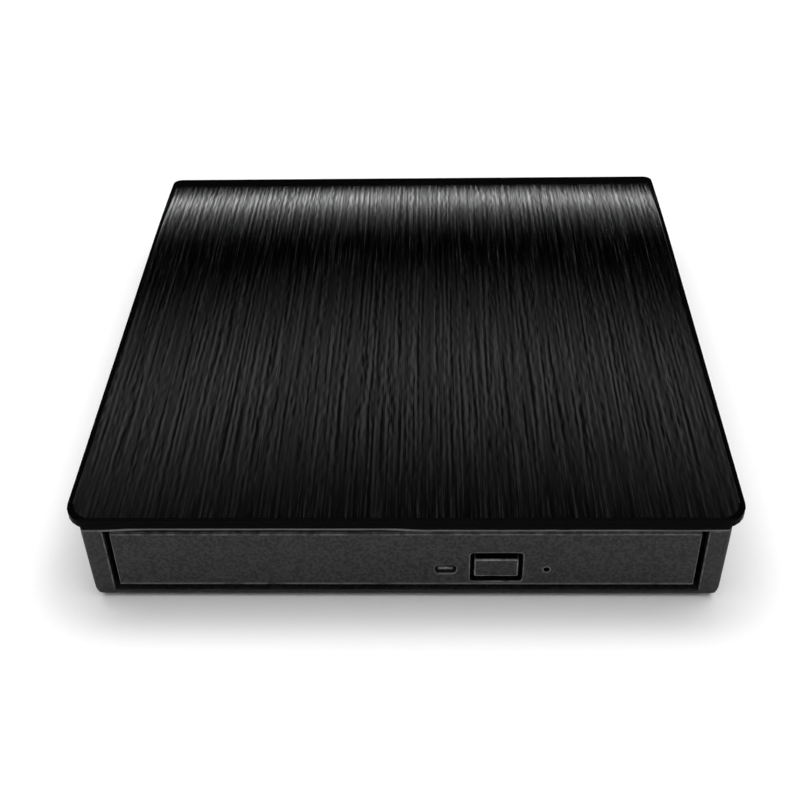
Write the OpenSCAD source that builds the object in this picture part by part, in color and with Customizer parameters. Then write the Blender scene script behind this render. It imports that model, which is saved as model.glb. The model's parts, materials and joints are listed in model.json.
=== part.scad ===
// External disc drive: a low case with an overhanging brushed lid and a sliding disc tray.
// Millimetres, +Z up, the tray comes out towards -Y, origin on the table under the middle of the case.

/* [Disc and tray] */
// Diameter of the disc that the tray carries
disc_d = 120; // [112:0.5:126]
// Radial room round the disc in its recess
disc_gap = 0.75; // [0.4:0.05:1.5]
// Diameter of the inner recess for a small disc
small_disc_d = 81; // [79:0.5:90]
// Depth of the disc recess under the tray's rim
recess_depth = 4.2; // [3.6:0.1:5]
// Extra depth of the small disc's recess
small_recess_depth = 0.5; // [0.2:0.1:0.7]
// Thinnest wall between the recess and the side of the rim
rim_wall = 1.45; // [1.2:0.05:2.5]
// Skin under the recess
tray_skin = 1.2; // [1:0.1:2]
// Wall round the hollow underside of the tray
tray_wall = 1.7; // [1.4:0.1:2]
// Wall between the recess and the tray's front
tray_front_wall = 3.85; // [3.5:0.05:5]
// How far the recess runs out through the tray's rear end
tray_rear_cut = 3.05; // [2:0.05:6]
// Clear height for the mechanism under the skin
mech_h = 4.4; // [4.2:0.1:6]
// Thickness of the steel plate under the tray
tray_plate_t = 0.4; // [0.3:0.05:0.6]
// Travel of the tray
tray_travel = 127; // [100:1:130]

/* [Rails] */
// Width of a slide rail
rail_w = 1.6; // [1.4:0.05:1.8]
// Height of a slide rail
rail_h = 2.6; // [2:0.1:2.8]
// Length of a slide rail
rail_len = 118; // [100:1:120]
// Height of the rails over the tray's underside
rail_lift = 1.4; // [1.2:0.1:1.6]
// How far a rail guide stands in from the pan's wall
guide_depth = 1.6; // [1.4:0.05:1.8]
// Back of a rail guide behind its rail
guide_back = 0.6; // [0.4:0.05:0.7]
// Lips of a rail guide over and under its rail
guide_lip = 1; // [0.6:0.1:1.1]
// Length of a rail guide
guide_len = 118; // [90:1:122]

/* [Drive housing] */
// Thickness of the pressed steel sheet
sheet_t = 0.5; // [0.4:0.05:0.7]
// Room between the tray's rim and the pan's wall
tray_side_gap = 1.3; // [1.2:0.05:2]
// Room for the flex under the tray
flex_gap = 0.9; // [0.8:0.05:1.5]
// Room between the tray's rim and the drive cover
cover_gap = 0.9; // [0.6:0.1:2]
// Room between the bezel and the pan's front edge
pan_front_gap = 0.5; // [0.3:0.1:1]
// Room between the tray's rear end and the pan's rear wall
pan_rear_room = 6.5; // [6:0.1:9]
// Depth of the cover's side flanges
flange_h = 3; // [2.4:0.1:3.5]
// Radius of the round boss pressed in the cover
cover_boss_r = 24; // [18:1:40]
// Height of the round boss pressed in the cover
cover_boss_h = 0.5; // [0.2:0.1:0.8]

/* [Case] */
// Room between the drive and the base's side walls
side_gap = 3.2; // [2:0.1:5]
// Wall of the base
base_wall = 2.1; // [1.6:0.1:3]
// Floor of the base
base_floor = 1.8; // [1.6:0.1:3]
// How much narrower each side of the base is at the bottom
base_draft = 0.4; // [0:0.1:0.6]
// Radius along the bottom edges of the base
base_bottom_r = 3; // [2:0.1:4.8]
// Radius of the base's front uprights
base_front_r = 1.2; // [0.6:0.1:1.8]
// Radius of the base's rear uprights
base_rear_r = 4; // [2:0.1:5]
// Sill of the front opening over the base's floor
sill_h = 0.3; // [0.1:0.1:0.8]
// Room between the drive's sides and the front opening
opening_gap = 0.45; // [0.2:0.05:1]
// Depth of the bay behind the drive
rear_bay = 12.7; // [11.5:0.1:18]
// Room between the drive cover and the top of the base
lid_room = 3.5; // [2:0.1:5]
// Height of the pads that carry the drive
drive_pad_h = 1.6; // [1.2:0.1:3]
// Radius of the pads that carry the drive
drive_pad_r = 4; // [3.5:0.1:6]
// Distance of the pads from the drive's sides
drive_pad_inset_x = 14; // [8:1:24]
// Distance of the pads from the drive's ends
drive_pad_inset_y = 16; // [10:1:24]
// How far the feet stand proud of the base
foot_proud = 0.6; // [0.4:0.1:2]
// Depth of the recesses that the feet sit in
foot_seat = 0.5; // [0.3:0.1:0.8]
// Radius of a foot
foot_r = 5; // [3.5:0.1:6]
// Distance of the feet from the base's sides
foot_inset_x = 19; // [15:1:24]
// Distance of the feet from the base's ends
foot_inset_y = 13; // [11:1:15]

/* [Lid] */
// How far the lid overhangs the base's sides and rear
lid_overhang = 3.2; // [2:0.1:6]
// How far the bezel is set back from the lid's front edge
front_setback = 0.5; // [0:0.1:2]
// Height of the lid's skirt on the base
lid_skirt_h = 1.3; // [1.2:0.1:3]
// Thickness of the lid's plate under the panel
lid_plate_t = 1.3; // [0.8:0.1:2]
// Thickness of the brushed panel
panel_t = 0.5; // [0.3:0.1:0.9]
// Plan radius of the lid's front corners
lid_front_r = 6; // [3:0.1:10]
// Plan radius of the lid's rear corners
lid_rear_r = 2.5; // [1.5:0.1:8]
// Border of the lid round the panel at the front and sides
lid_border = 0.9; // [0.5:0.1:1.4]
// Border of the lid behind the panel
lid_rear_border = 4.6; // [1:0.1:6]
// Length of the roll-off at the rear of the lid
roll_len = 42; // [20:1:60]
// Drop of the lid at its rear edge
roll_drop = 1.2; // [0.4:0.1:1.4]
// Thickness of the lid's tongue inside the base
tongue_t = 1; // [0.8:0.1:1.2]
// Depth of the lid's tongue inside the base
tongue_h = 1.5; // [1:0.1:2]

/* [Front panel] */
// Thickness of the tray's bezel
bezel_t = 2.2; // [1.8:0.1:3]
// Room between the bezel and the lid
bezel_over_gap = 0.5; // [0.3:0.1:1]
// Room between the bezel and the uprights of the front opening
bezel_side_gap = 1.4; // [0.6:0.1:2]
// Room under the bezel
bezel_under_gap = 1.1; // [0.6:0.1:1.2]
// Bevel along the bezel's long front edges
bezel_bevel = 0.4; // [0.2:0.1:0.8]
// Width of the eject button
button_w = 9.6; // [7:0.1:11]
// Height of the eject button
button_h = 5.2; // [4:0.1:6.2]
// Place of the eject button across the bezel
button_x = 19.9; // [16:0.1:22]
// Height of the button's centre over the bezel's lower edge
button_lift = 5.1; // [5:0.1:5.4]
// Room beside the button in its slot
button_gap = 0.9; // [0.3:0.1:0.9]
// Height of the button's slot
button_slot_h = 8.7; // [7.5:0.1:9]
// Radius of the corners of the button's slot
button_slot_r = 0.8; // [0.3:0.1:1.5]
// How far the button's face is set back in the bezel
button_setback = 0.4; // [0:0.1:0.8]
// Travel of the button
button_travel = 0.6; // [0.3:0.1:0.7]
// Width of the light window
light_w = 4.5; // [2:0.1:5]
// Height of the light window
light_h = 2.4; // [0.8:0.1:2.4]
// Place of the light window across the bezel
light_x = 8.9; // [0:0.1:10]
// Height of the light window over the bezel's lower edge
light_lift = 5.1; // [4.4:0.1:5.4]
// Diameter of the emergency eject hole
pin_hole_d = 1.4; // [1:0.1:1.8]
// Place of the emergency eject hole across the bezel
pin_hole_x = 30.8; // [30:0.1:50]

/* [Spindle] */
// Radius of the hub that centres the disc
hub_r = 7.4; // [7.2:0.05:7.45]
// Height of the hub over the turntable
hub_h = 2.9; // [2:0.1:3.2]
// Radius of the turntable
turntable_r = 14; // [13:0.1:14.4]
// Thickness of the turntable
turntable_t = 1.7; // [1.2:0.1:2]
// Thickness of the rubber pad on the turntable
pad_t = 0.3; // [0.2:0.1:0.6]
// Radius of the motor's stator
stator_r = 10.4; // [8:0.1:10.6]
// Wall of the rotor's skirt
skirt_t = 1; // [0.6:0.1:1.2]
// Radius of the spindle shaft
shaft_r = 1.5; // [1:0.1:2]
// Radius of the spindle's bearing sleeve
sleeve_r = 2.8; // [2.5:0.1:4]
// Radius of a clamp ball
ball_r = 1.2; // [0.8:0.1:1.3]
// Number of clamp balls
ball_count = 3; // [3:1:6]

/* [Pickup] */
// Direction of the pickup's path, below the X axis
sled_angle = 45; // [43:1:47]
// Distance of the lens from the spindle at rest
lens_r_min = 24; // [23:0.5:30]
// Margin of the lens inside the disc's edge at full travel
lens_edge = 2; // [2:0.5:6]
// Length of the sled along its path
sled_len = 16; // [14:0.5:16]
// Half width of the sled across its path
sled_half_w = 14.8; // [14.4:0.1:14.8]
// Distance of the guide rods from the middle of the path
rod_offset = 12.5; // [11:0.1:12.6]
// Radius of a guide rod
rod_r = 1.25; // [0.9:0.05:1.3]
// Distance of the lead screw from the middle of the path
screw_offset = 18.8; // [18.6:0.1:19.4]
// Radius of the lead screw over its thread
screw_r = 1.3; // [1:0.05:1.4]
// Pitch of the lead screw
screw_pitch = 4; // [3:0.5:6]
// Radius of the feed motor
motor_r = 2; // [1.6:0.1:2]
// Length of the feed motor
motor_len = 9.6; // [6:0.1:10]
// Wall of the traverse frame
frame_wall = 1.4; // [1:0.1:1.5]
// Plate of the traverse frame
frame_plate_t = 0.8; // [0.5:0.1:1]
// Thickness of the deck cover
deck_t = 0.4; // [0.3:0.1:0.5]
// Half width of the slot over the lens
deck_slot_half = 10; // [8:0.5:10.5]
// Radius of the lens
lens_r = 2.2; // [1.5:0.1:2.5]
// Travel of the lens each way
lens_travel = 0.4; // [0.2:0.1:0.5]

/* [Latch and ejector] */
// Distance of the latch post from the middle of the tray
post_x = 45; // [40:0.5:48]
// Distance of the latch post from the tray's rear end
post_from_rear = 10; // [9:0.5:14]
// Radius of the latch post
post_r = 1.2; // [0.8:0.1:1.3]
// Swing of the latch lever between free and latched
latch_swing = 22; // [20:1:24]
// Thickness of the latch lever
lever_t = 1.2; // [0.8:0.1:1.4]
// Distance of the ejector from the middle of the tray
ejector_x = 50; // [42:0.5:52]
// Radius of the ejector's bore
ejector_bore_r = 1.9; // [1.6:0.1:1.9]
// Radius of the plunger's nose
plunger_r = 1.4; // [1:0.1:1.5]
// Travel of the ejector plunger
ejector_travel = 8; // [4:0.5:8.5]

/* [Boards and sockets] */
// Thickness of the circuit boards
board_t = 1; // [0.8:0.1:1.2]
// Width of the flat flex cable
flex_w = 12; // [8:0.5:14]
// Thickness of the flat flex cable
flex_t = 0.15; // [0.1:0.05:0.2]
// Place of the flex across the drive
flex_x = 31; // [28:0.5:34]
// Width of the drive's connector
link_w = 34; // [24:0.5:36]
// Height of the drive's connector
link_h = 3.4; // [2.6:0.1:3.8]
// Length of the bridge board
bridge_w = 64; // [56:1:80]
// Height of the posts under the bridge board
bridge_post_h = 2.6; // [1.6:0.1:3]
// Place of the receptacle across the rear
usb_x = -14; // [-16:0.5:8]
// Width of the receptacle
usb_w = 12.2; // [10:0.1:13]
// Height of the receptacle
usb_h = 3; // [2.6:0.1:3.4]
// Depth of the receptacle
usb_d = 9; // [7:0.1:9.2]
// Wall of the receptacle's steel shell
usb_wall = 0.35; // [0.3:0.05:0.4]

/* [Fits] */
// Gap round a pressed or bonded piece
seat_gap = 0.05; // [0.02:0.01:0.1]
// Radial gap of a running fit
run_gap = 0.06; // [0.02:0.01:0.1]
// Gap between sliding plastic faces
slide_gap = 0.15; // [0.1:0.01:0.3]
// Gap between pieces that pass each other
pass_gap = 0.3; // [0.2:0.05:0.5]

/* [Hidden] */
$fn = 48;
arc_steps = 6;
thread_sides = 10;
turn_slices = 8;
cut = 1;

// Radii and heads of the small screws
screw_shank = 0.8;
screw_head = 1.7;
screw_head_t = 0.35;
case_screw_shank = 1.15;
case_screw_head = 2.2;
case_screw_head_t = 1;
case_screw_sink = 0.4;
case_screw_grip = 6;
cover_screw_head = 1.3;
plate_screw_len = 3.5;
board_screw_len = 2.5;

// Levels from the table up
base_z = foot_proud;
floor_z = base_z + base_floor;
pan_z = floor_z + drive_pad_h;
pan_floor_z = pan_z + sheet_t;
tray_z = pan_floor_z + flex_gap;
plate_top_z = tray_z + tray_plate_t;
skin_z = plate_top_z + mech_h;
recess_z = skin_z + tray_skin;
small_recess_z = recess_z - small_recess_depth;
rim_z = recess_z + recess_depth;
cover_z = rim_z + cover_gap;
cover_top_z = cover_z + sheet_t;
base_top_z = cover_top_z + lid_room;
lid_under_z = base_top_z + lid_skirt_h;
panel_z = lid_under_z + lid_plate_t;
lid_top_z = panel_z + panel_t;

// Widths from the disc out, as halves
recess_r = disc_d / 2 + disc_gap;
rim_half = recess_r + rim_wall;
pan_in_half = rim_half + tray_side_gap;
pan_half = pan_in_half + sheet_t;
guide_in = pan_in_half - guide_depth;
rail_out = pan_in_half - guide_back - slide_gap;
rail_in = rail_out - rail_w;
tray_half = guide_in - pass_gap;
cavity_half = tray_half - tray_wall;
base_in_half = pan_half + side_gap;
base_half = base_in_half + base_wall;
lid_half = base_half + lid_overhang;
opening_half = pan_half + opening_gap;
bezel_half = opening_half - bezel_side_gap;

// Depths from the lid's front edge back, with the middle of the case at zero
tray_front_skin = 2;
rail_front_inset = 6;
rail_rear_room = 4;
guide_front_inset = 3;
front_stack = front_setback + bezel_t + tray_front_wall + recess_r;
tray_rear_reach = recess_r - tray_rear_cut;
tray_len = tray_front_wall + recess_r + tray_rear_reach;
rail_reach = rail_front_inset + max(rail_len, guide_len - rail_front_inset + guide_front_inset);
rear_room = max(pan_rear_room, rail_reach + rail_rear_room - tray_len);
rear_stack = tray_rear_reach + rear_room + sheet_t + rear_bay + base_wall + lid_overhang;
case_d = front_stack + rear_stack;
lid_front_y = -case_d / 2;
lid_rear_y = case_d / 2;
bezel_y = lid_front_y + front_setback;
tray_front_y = bezel_y + bezel_t;
spindle_y = lid_front_y + front_stack;
tray_rear_y = spindle_y + tray_rear_reach;
pan_front_y = tray_front_y + pan_front_gap;
pan_rear_y = tray_rear_y + rear_room + sheet_t;
base_rear_in_y = pan_rear_y + rear_bay;
base_rear_y = base_rear_in_y + base_wall;
cavity_front_y = tray_front_y + tray_front_skin;
cavity_rear_y = tray_rear_y - tray_wall;

// Front panel
bezel_z = floor_z + sill_h + bezel_under_gap;
bezel_top_z = base_top_z - bezel_over_gap;
button_z = bezel_z + button_lift;
light_z = bezel_z + light_lift;
slot_half_w = button_w / 2 + button_gap;
button_rim = 0.4;
slot_low_z = pan_z + sheet_t + pass_gap + button_rim;
slot_top_z = slot_low_z + button_slot_h;
button_flange_t = 0.7;
button_play = 0.1;
button_stem_r = 1.5;
button_stem_len = 0.75;
button_stem_room = 0.7;
button_flange_y = tray_front_y + button_play;
button_stem_y = button_flange_y + button_flange_t + button_stem_len;
button_pocket_y = button_flange_y + button_flange_t + button_travel + pass_gap;
light_setback = 0.2;
bezel_tab_half = 5;
bezel_tab_d = 3;
bezel_tab_lift = 0.1;

// Rails
rail_z = tray_z + rail_lift;
rail_y = tray_front_y + rail_front_inset;
rail_groove_inset = 4;
guide_y = tray_front_y + guide_front_inset;
guide_z = rail_z - slide_gap - guide_lip;
guide_h = rail_h + 2 * slide_gap + 2 * guide_lip;
rim_under_z = guide_z + guide_h + pass_gap;

// Traverse, along and across the pickup's path from the spindle's axis
frame_lift = 0.2;
rotor_gap = 0.6;
rotor_clear = 0.8;
sled_end_room = 0.6;
sled_side_room = 0.7;
frame_rim = 1;
motor_room = 0.4;
motor_flange_t = 0.8;
screw_end_inset = 3;
screw_in_motor = 1.5;
screw_bore_end = 0.5;
thread_end_gap = 0.6;
rod_lift = 1.2;
rod_end_wall = 0.4;
sled_deck_gap = 0.4;
sled_floor = 1.3;
frame_z = plate_top_z + frame_lift;
frame_top_z = small_recess_z - deck_t;
skirt_in = stator_r + rotor_gap;
skirt_r = skirt_in + skirt_t;
lens_r_max = disc_d / 2 - lens_edge;
near_wall_x = skirt_r + rotor_clear;
pit_x0 = near_wall_x + frame_wall;
pit_x1 = lens_r_max + sled_len / 2 + sled_end_room;
frame_x1 = pit_x1 + frame_wall;
frame_x0 = -turntable_r - frame_rim;
pit_half = sled_half_w + sled_side_room;
frame_half = pit_half + frame_wall;
screw_room = screw_offset + motor_r + motor_room;
screw_side = screw_room + frame_wall;
screw_x1 = lens_r_max - screw_end_inset;
traverse_gap = 0.5;
deck_inset = 0.2;
rod_z = frame_z + frame_plate_t + rod_lift;
screw_z = rod_z;
sled_z = frame_z + pass_gap;
sled_top_z = frame_top_z - sled_deck_gap;
lens_pit_z = sled_z + sled_floor;
holder_half = [3.4, 4.6];
magnet_gap = 0.7;
magnet_t = 1;
magnet_half = 3;
lens_pit_room = [0.5, 0.9];
lens_pit_half = [holder_half.x + magnet_gap + magnet_t + lens_pit_room.x, holder_half.y + lens_pit_room.y];
lens_float = 0.2;
lens_ledge = 0.5;
lens_seat = 0.4;
lens_h = 0.9;
nut_arm_inset = 1;
nut_arm_w = 3;
nut_arm_half = 0.6;
notch_inset = 1;
notch_half = 2;
notch_d = 0.8;
holder_z = lens_pit_z + lens_travel + lens_float;
holder_top_z = recess_z - lens_travel - pass_gap;
ear_z = frame_z + frame_plate_t;
ear_t = 0.8;
ear_r = 4;
ear_neck_half = 3.2;
near_ear_inset = 18;
far_ear_inset = 28;
damper_flange = 0.5;
damper_r = 3.2;
damper_neck_r = 2.4;
damper_bore_r = 1.25;
damper_screw_end = 0.4;
damper_screw_head = 2.2;
damper_screw_head_t = 0.3;
ears = [
    [frame_x0 - ear_r, 0],
    [lens_r_max - near_ear_inset, -frame_half - ear_r],
    [lens_r_max - far_ear_inset, screw_side + ear_r]
];

// Spindle
stator_z = frame_z + frame_plate_t;
turntable_sink = 0.3;
stator_gap = 0.7;
ball_lift = 1.2;
sleeve_over = 0.3;
sleeve_floor = 0.4;
shaft_end_gap = 0.2;
skirt_lap = 1.2;
hub_dish = 0.6;
pad_edge = 0.3;
pad_hub_gap = 1.4;
turntable_hole_gap = 1;
turntable_z = small_recess_z - turntable_sink;
pad_z = turntable_z + turntable_t;
stator_top_z = turntable_z - stator_gap;
ball_z = pad_z + pad_t + ball_lift;

// Tray board, behind the bezel and left of the traverse
board_lift = 1;
board_front_inset = 5.3;
board_side_inset = 12;
board_inner_inset = 4;
board_past_button = 6.5;
board_strip_d = 6;
board_d = 35;
board_hole_inset = 3;
light_hole_gap = 5.6;
board_z = plate_top_z + board_lift;
board_top_z = board_z + board_t;
board_front_y = tray_front_y + board_front_inset;
board_left_x = -cavity_half + board_side_inset;
board_inner_x = -board_inner_inset;
board_right_x = button_x + board_past_button;
board_strip_y = board_front_y + board_strip_d;
board_back_y = board_front_y + board_d;
board_holes = [
    [board_left_x + board_hole_inset, board_front_y + board_hole_inset],
    [board_left_x + board_hole_inset, board_back_y - board_hole_inset],
    [board_inner_x - board_hole_inset, board_back_y - board_hole_inset],
    [light_x - light_hole_gap, board_strip_y - board_hole_inset]
];
// Chips of the tray board: place from its middle, half width, half depth and height
main_chip_half = 7;
main_chip_h = 1.2;
small_chip_h = 1;
memory_half = [3, 5];
memory_at = [-14, 1];
driver_half = [3, 4];
driver_at = [13, 0];
emitter_half = 1.5;
emitter_inset = 0.1;
emitter_d = 2.5;
switch_half = 2.5;
switch_d = 4;
switch_h = 2.2;
switch_stem_r = 0.8;
boss_r = 2.2;
plate_inset = 4;
plate_holes = [
    for (sx = [-1, 1], y = [cavity_front_y + plate_inset, cavity_rear_y - plate_inset])
        [sx * (cavity_half - plate_inset), y]
];

// Latch, at the rear left of the tray
post_y = tray_rear_y - post_from_rear;
hook_reach = 8;
hook_rise = 6;
pivot_x = -post_x + hook_reach;
pivot_y = post_y - hook_rise;
pivot_r = 1.2;
pivot_shoulder = 1;
pivot_tip = 0.4;
lever_lift = 0.8;
lever_play = 0.2;
lever_eye = 1.2;
lever_root = [2, 1.6];
lever_neck = [4.2, 2.6];
hook_t = 1.8;
tail_root = [1.8, 1.2];
tail_end = [6.5, 7.5];
tail_tip = [4.7, 8.7];
post_over = 0.6;
lever_z = plate_top_z + lever_lift;
post_top_z = lever_z + lever_t + post_over;
post_lane = 3;
solenoid_gap = 10;
solenoid_d = 10;
solenoid_h = 3.4;
solenoid_x = [-7, 3];
armature_x = 2;
armature_r = 1;
armature_drop = 1.8;
armature_out = 1;

// Ejector, at the rear right of the tray
ejector_floor = 0.3;
ejector_lift = 0.1;
ejector_wall = 1.3;
ejector_end_wall = 1.5;
plunger_tail = 3;
plunger_tail_gap = 0.2;
ejector_z = plate_top_z + ejector_bore_r + ejector_floor;
ejector_len = 18.5;
ejector_y = tray_rear_y - ejector_len;
plunger_flange_t = 2;
plunger_flange_y = cavity_rear_y - plunger_flange_t - ejector_travel - pass_gap;
spring_r = 1.7;
spring_bore_r = 1.3;

// Flex between tray and pan
flex_lie = 0.02;
flex_end_inset = 6;
flex_socket_gap = 0.5;
flex_socket_h = 1.6;
flex_socket_side = 1;
flex_low_z = pan_floor_z + flex_lie;
flex_high_z = tray_z - seat_gap - flex_t;
flex_end_y = tray_rear_y - flex_end_inset;
flex_fold_y = flex_end_y - tray_travel / 2;
flex_socket_d = 4;
flex_socket_y = pan_rear_y - sheet_t - flex_socket_d - flex_socket_gap;

// Connectors at the rear
link_board_t = 0.8;
link_gap = 1.2;
link_side = 3;
link_setback = 0.6;
link_end_gap = 0.1;
bridge_gap = 0.8;
bridge_rear_gap = 0.4;
bridge_hole_inset = 5;
bridge_screw_end = 0.4;
usb_setback = 0.2;
usb_back = 1;
usb_tongue_inset = 1.2;
usb_tongue_side = 1;
usb_tongue_root = 0.5;
usb_tongue_end = 1.5;
bridge_chip_half = [3.5, 2.5];
bridge_chip_x = 9.5;
clock_half = 2;
clock_x = 18;
clock_h = 0.8;
link_board_y = tray_rear_y + link_gap;
link_z = pan_floor_z + link_board_t;
bridge_z = floor_z + bridge_post_h;
bridge_top_z = bridge_z + board_t;
bridge_y0 = pan_rear_y + bridge_gap;
bridge_y1 = base_rear_in_y - bridge_rear_gap;
bridge_hole_x = bridge_w / 2 - bridge_hole_inset;
bridge_hole_y = (bridge_y0 + bridge_y1) / 2;
plug_d = 4;
usb_y1 = base_rear_y - usb_setback;
usb_y0 = usb_y1 - usb_d;
case_screw_inset = 6.5;
case_screw_x = base_in_half - case_screw_inset;
case_screw_y = (pan_rear_y + base_rear_in_y) / 2;
case_screw_seat_z = base_z + case_screw_head_t + case_screw_sink;
boss_split_h = 8;
boss_split_z = floor_z + boss_split_h;
lid_boss_cap = 1;
case_boss_r = 3.2;
front_pad_setback = 8;
front_pad_y = pan_front_y + drive_pad_inset_y + front_pad_setback;
drive_pads = [
    for (sx = [-1, 1], y = [front_pad_y, pan_rear_y - drive_pad_inset_y])
        [sx * (pan_half - drive_pad_inset_x), y]
];
feet = [
    for (sx = [-1, 1], y = [bezel_y + foot_inset_y, base_rear_y - foot_inset_y])
        [sx * (base_half - foot_inset_x), y]
];
case_bosses = [[-case_screw_x, case_screw_y], [case_screw_x, case_screw_y]];
bridge_posts = [[-bridge_hole_x, bridge_hole_y], [bridge_hole_x, bridge_hole_y]];
cover_screw_inset = 30;
cover_screw_ys = [pan_front_y + cover_screw_inset, pan_rear_y - cover_screw_inset];
cover_screw_z = cover_z - flange_h / 2;

// Colours as the photograph shows them
black_satin = [0.17, 0.17, 0.18];
black_brushed = [0.1, 0.1, 0.11];
rubber_black = [0.08, 0.08, 0.08];
steel = [0.7, 0.71, 0.72];
bright_steel = [0.82, 0.83, 0.84];
tray_black = [0.12, 0.12, 0.13];
board_green = [0.08, 0.3, 0.16];
chip_black = [0.09, 0.09, 0.1];
socket_black = [0.12, 0.12, 0.12];
milky = [0.85, 0.87, 0.9];
lens_blue = [0.55, 0.62, 0.8];
flex_white = [0.85, 0.83, 0.76];
copper = [0.72, 0.4, 0.22];

// Outlines
function arc(cx, cy, r, a0, a1) =
    [for (i = [0:arc_steps]) let (a = a0 + (a1 - a0) * i / arc_steps) [cx + r * cos(a), cy + r * sin(a)]];

function plan_outline(half, y0, y1, front_r, rear_r) = concat(
    arc(-half + front_r, y0 + front_r, front_r, 180, 270),
    arc(half - front_r, y0 + front_r, front_r, 270, 360),
    arc(half - rear_r, y1 - rear_r, rear_r, 0, 90),
    arc(-half + rear_r, y1 - rear_r, rear_r, 90, 180)
);

function tub_section(top_half, low_half, z0, z1, r) = concat(
    arc(-low_half + r, z0 + r, r, 180, 270),
    arc(low_half - r, z0 + r, r, 270, 360),
    [[top_half, z1], [-top_half, z1]]
);

function side_section(y0, y1, z0, z1, front_r, rear_r) = concat(
    arc(y0 + front_r, z0 + front_r, front_r, 180, 270),
    arc(y1 - rear_r, z0 + rear_r, rear_r, 270, 360),
    [[y1, z1], [y0, z1]]
);

// Drop of the lid's top at a place along its depth: flat, then a parabola to the rear edge
roll_y = lid_rear_y - roll_len;
roll_steps = 14;
panel_rear_r = max(lid_rear_r - lid_border, lid_border / 2);
tongue_front_inset = 6;
function lid_drop(y) = y <= roll_y ? 0 : roll_drop * pow((y - roll_y) / roll_len, 2);
function lid_points(z) = concat(
    [[lid_front_y - cut, z]],
    [for (i = [0:roll_steps]) let (y = roll_y + roll_len * i / roll_steps) [y, z - lid_drop(y)]],
    [[lid_rear_y + cut, z - roll_drop]]
);
function reversed(list) = [for (i = [len(list) - 1:-1:0]) list[i]];
function lid_section(z0, z1) = concat(lid_points(z1), reversed(lid_points(z0)));

module plan_prism(half, y0, y1, front_r, rear_r, z0, z1) {
    translate([0, 0, z0])
        linear_extrude(z1 - z0)
            polygon(plan_outline(half, y0, y1, front_r, rear_r));
}

module along_x(half) {
    translate([-half, 0, 0])
        rotate([90, 0, 90])
            linear_extrude(2 * half)
                children();
}

module along_y(y0, y1) {
    translate([0, y1, 0])
        rotate([90, 0, 0])
            linear_extrude(y1 - y0)
                children();
}

module box(x0, x1, y0, y1, z0, z1) {
    translate([x0, y0, z0])
        cube([x1 - x0, y1 - y0, z1 - z0]);
}

module post(x, y, z0, z1, r) {
    translate([x, y, z0])
        cylinder(h = z1 - z0, r = r);
}

module chip(at, half, z, h) {
    box(at.x - half.x, at.x + half.x, at.y - half.y, at.y + half.y, z, z + h);
}

module rod_y(x, z, y0, y1, r) {
    translate([x, y0, z])
        rotate([-90, 0, 0])
            cylinder(h = y1 - y0, r = r);
}

module rod_x(y, z, x0, x1, r) {
    translate([x0, y, z])
        rotate([0, 90, 0])
            cylinder(h = x1 - x0, r = r);
}

module in_traverse() {
    translate([0, spindle_y, 0])
        rotate([0, 0, -sled_angle])
            children();
}

// Head below, shank above
module screw_up(x, y, z, shank, length, head, head_t) {
    post(x, y, z - head_t, z, head);
    post(x, y, z, z + length, shank);
}

// Case
module base_form(inset, z0, z1) {
    y0 = bezel_y + inset;
    y1 = base_rear_y - inset;
    low_half = base_half - base_draft - inset;
    bottom_r = base_bottom_r - inset;
    intersection() {
        along_y(y0, y1) polygon(tub_section(base_half - inset, low_half, z0, z1, bottom_r));
        along_x(base_half) polygon(side_section(y0, y1, z0, z1, base_front_r, bottom_r));
        plan_prism(base_half, y0, y1, base_front_r, max(base_rear_r - inset, base_front_r),
            z0 - cut, z1 + cut);
    }
}

module base_shell() {
    color(black_satin)
        difference() {
            union() {
                difference() {
                    base_form(0, base_z, base_top_z);
                    base_form(base_wall, floor_z, base_top_z + cut);
                    box(-opening_half, opening_half, bezel_y - cut, bezel_y + base_wall + cut,
                        floor_z + sill_h, base_top_z + cut);
                }
                for (p = drive_pads)
                    post(p.x, p.y, floor_z - base_floor / 2, pan_z, drive_pad_r);
                for (p = case_bosses)
                    post(p.x, p.y, floor_z - base_floor / 2, boss_split_z, case_boss_r);
                for (p = bridge_posts)
                    post(p.x, p.y, floor_z - base_floor / 2, bridge_z, boss_r);
            }
            for (p = feet)
                post(p.x, p.y, base_z - cut, base_z + foot_seat, foot_r + seat_gap);
            for (p = concat(case_bosses, drive_pads)) {
                post(p.x, p.y, base_z - cut, case_screw_seat_z, case_screw_head + pass_gap);
                post(p.x, p.y, base_z, boss_split_z + cut, case_screw_shank + seat_gap);
            }
            for (p = bridge_posts)
                post(p.x, p.y, floor_z, bridge_z + cut, screw_shank + seat_gap);
            box(usb_x - usb_w / 2 - pass_gap, usb_x + usb_w / 2 + pass_gap, base_rear_in_y - cut,
                base_rear_y + cut, bridge_top_z - pass_gap, bridge_top_z + usb_h + pass_gap);
        }
}

module lid_field(grow, z0, z1) {
    intersection() {
        plan_prism(lid_half - lid_border + grow, lid_front_y + lid_border - grow,
            lid_rear_y - lid_rear_border + grow, lid_front_r - lid_border + grow, panel_rear_r + grow,
            base_top_z, lid_top_z + 2 * cut);
        along_x(lid_half) polygon(lid_section(z0, z1));
    }
}

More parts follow.
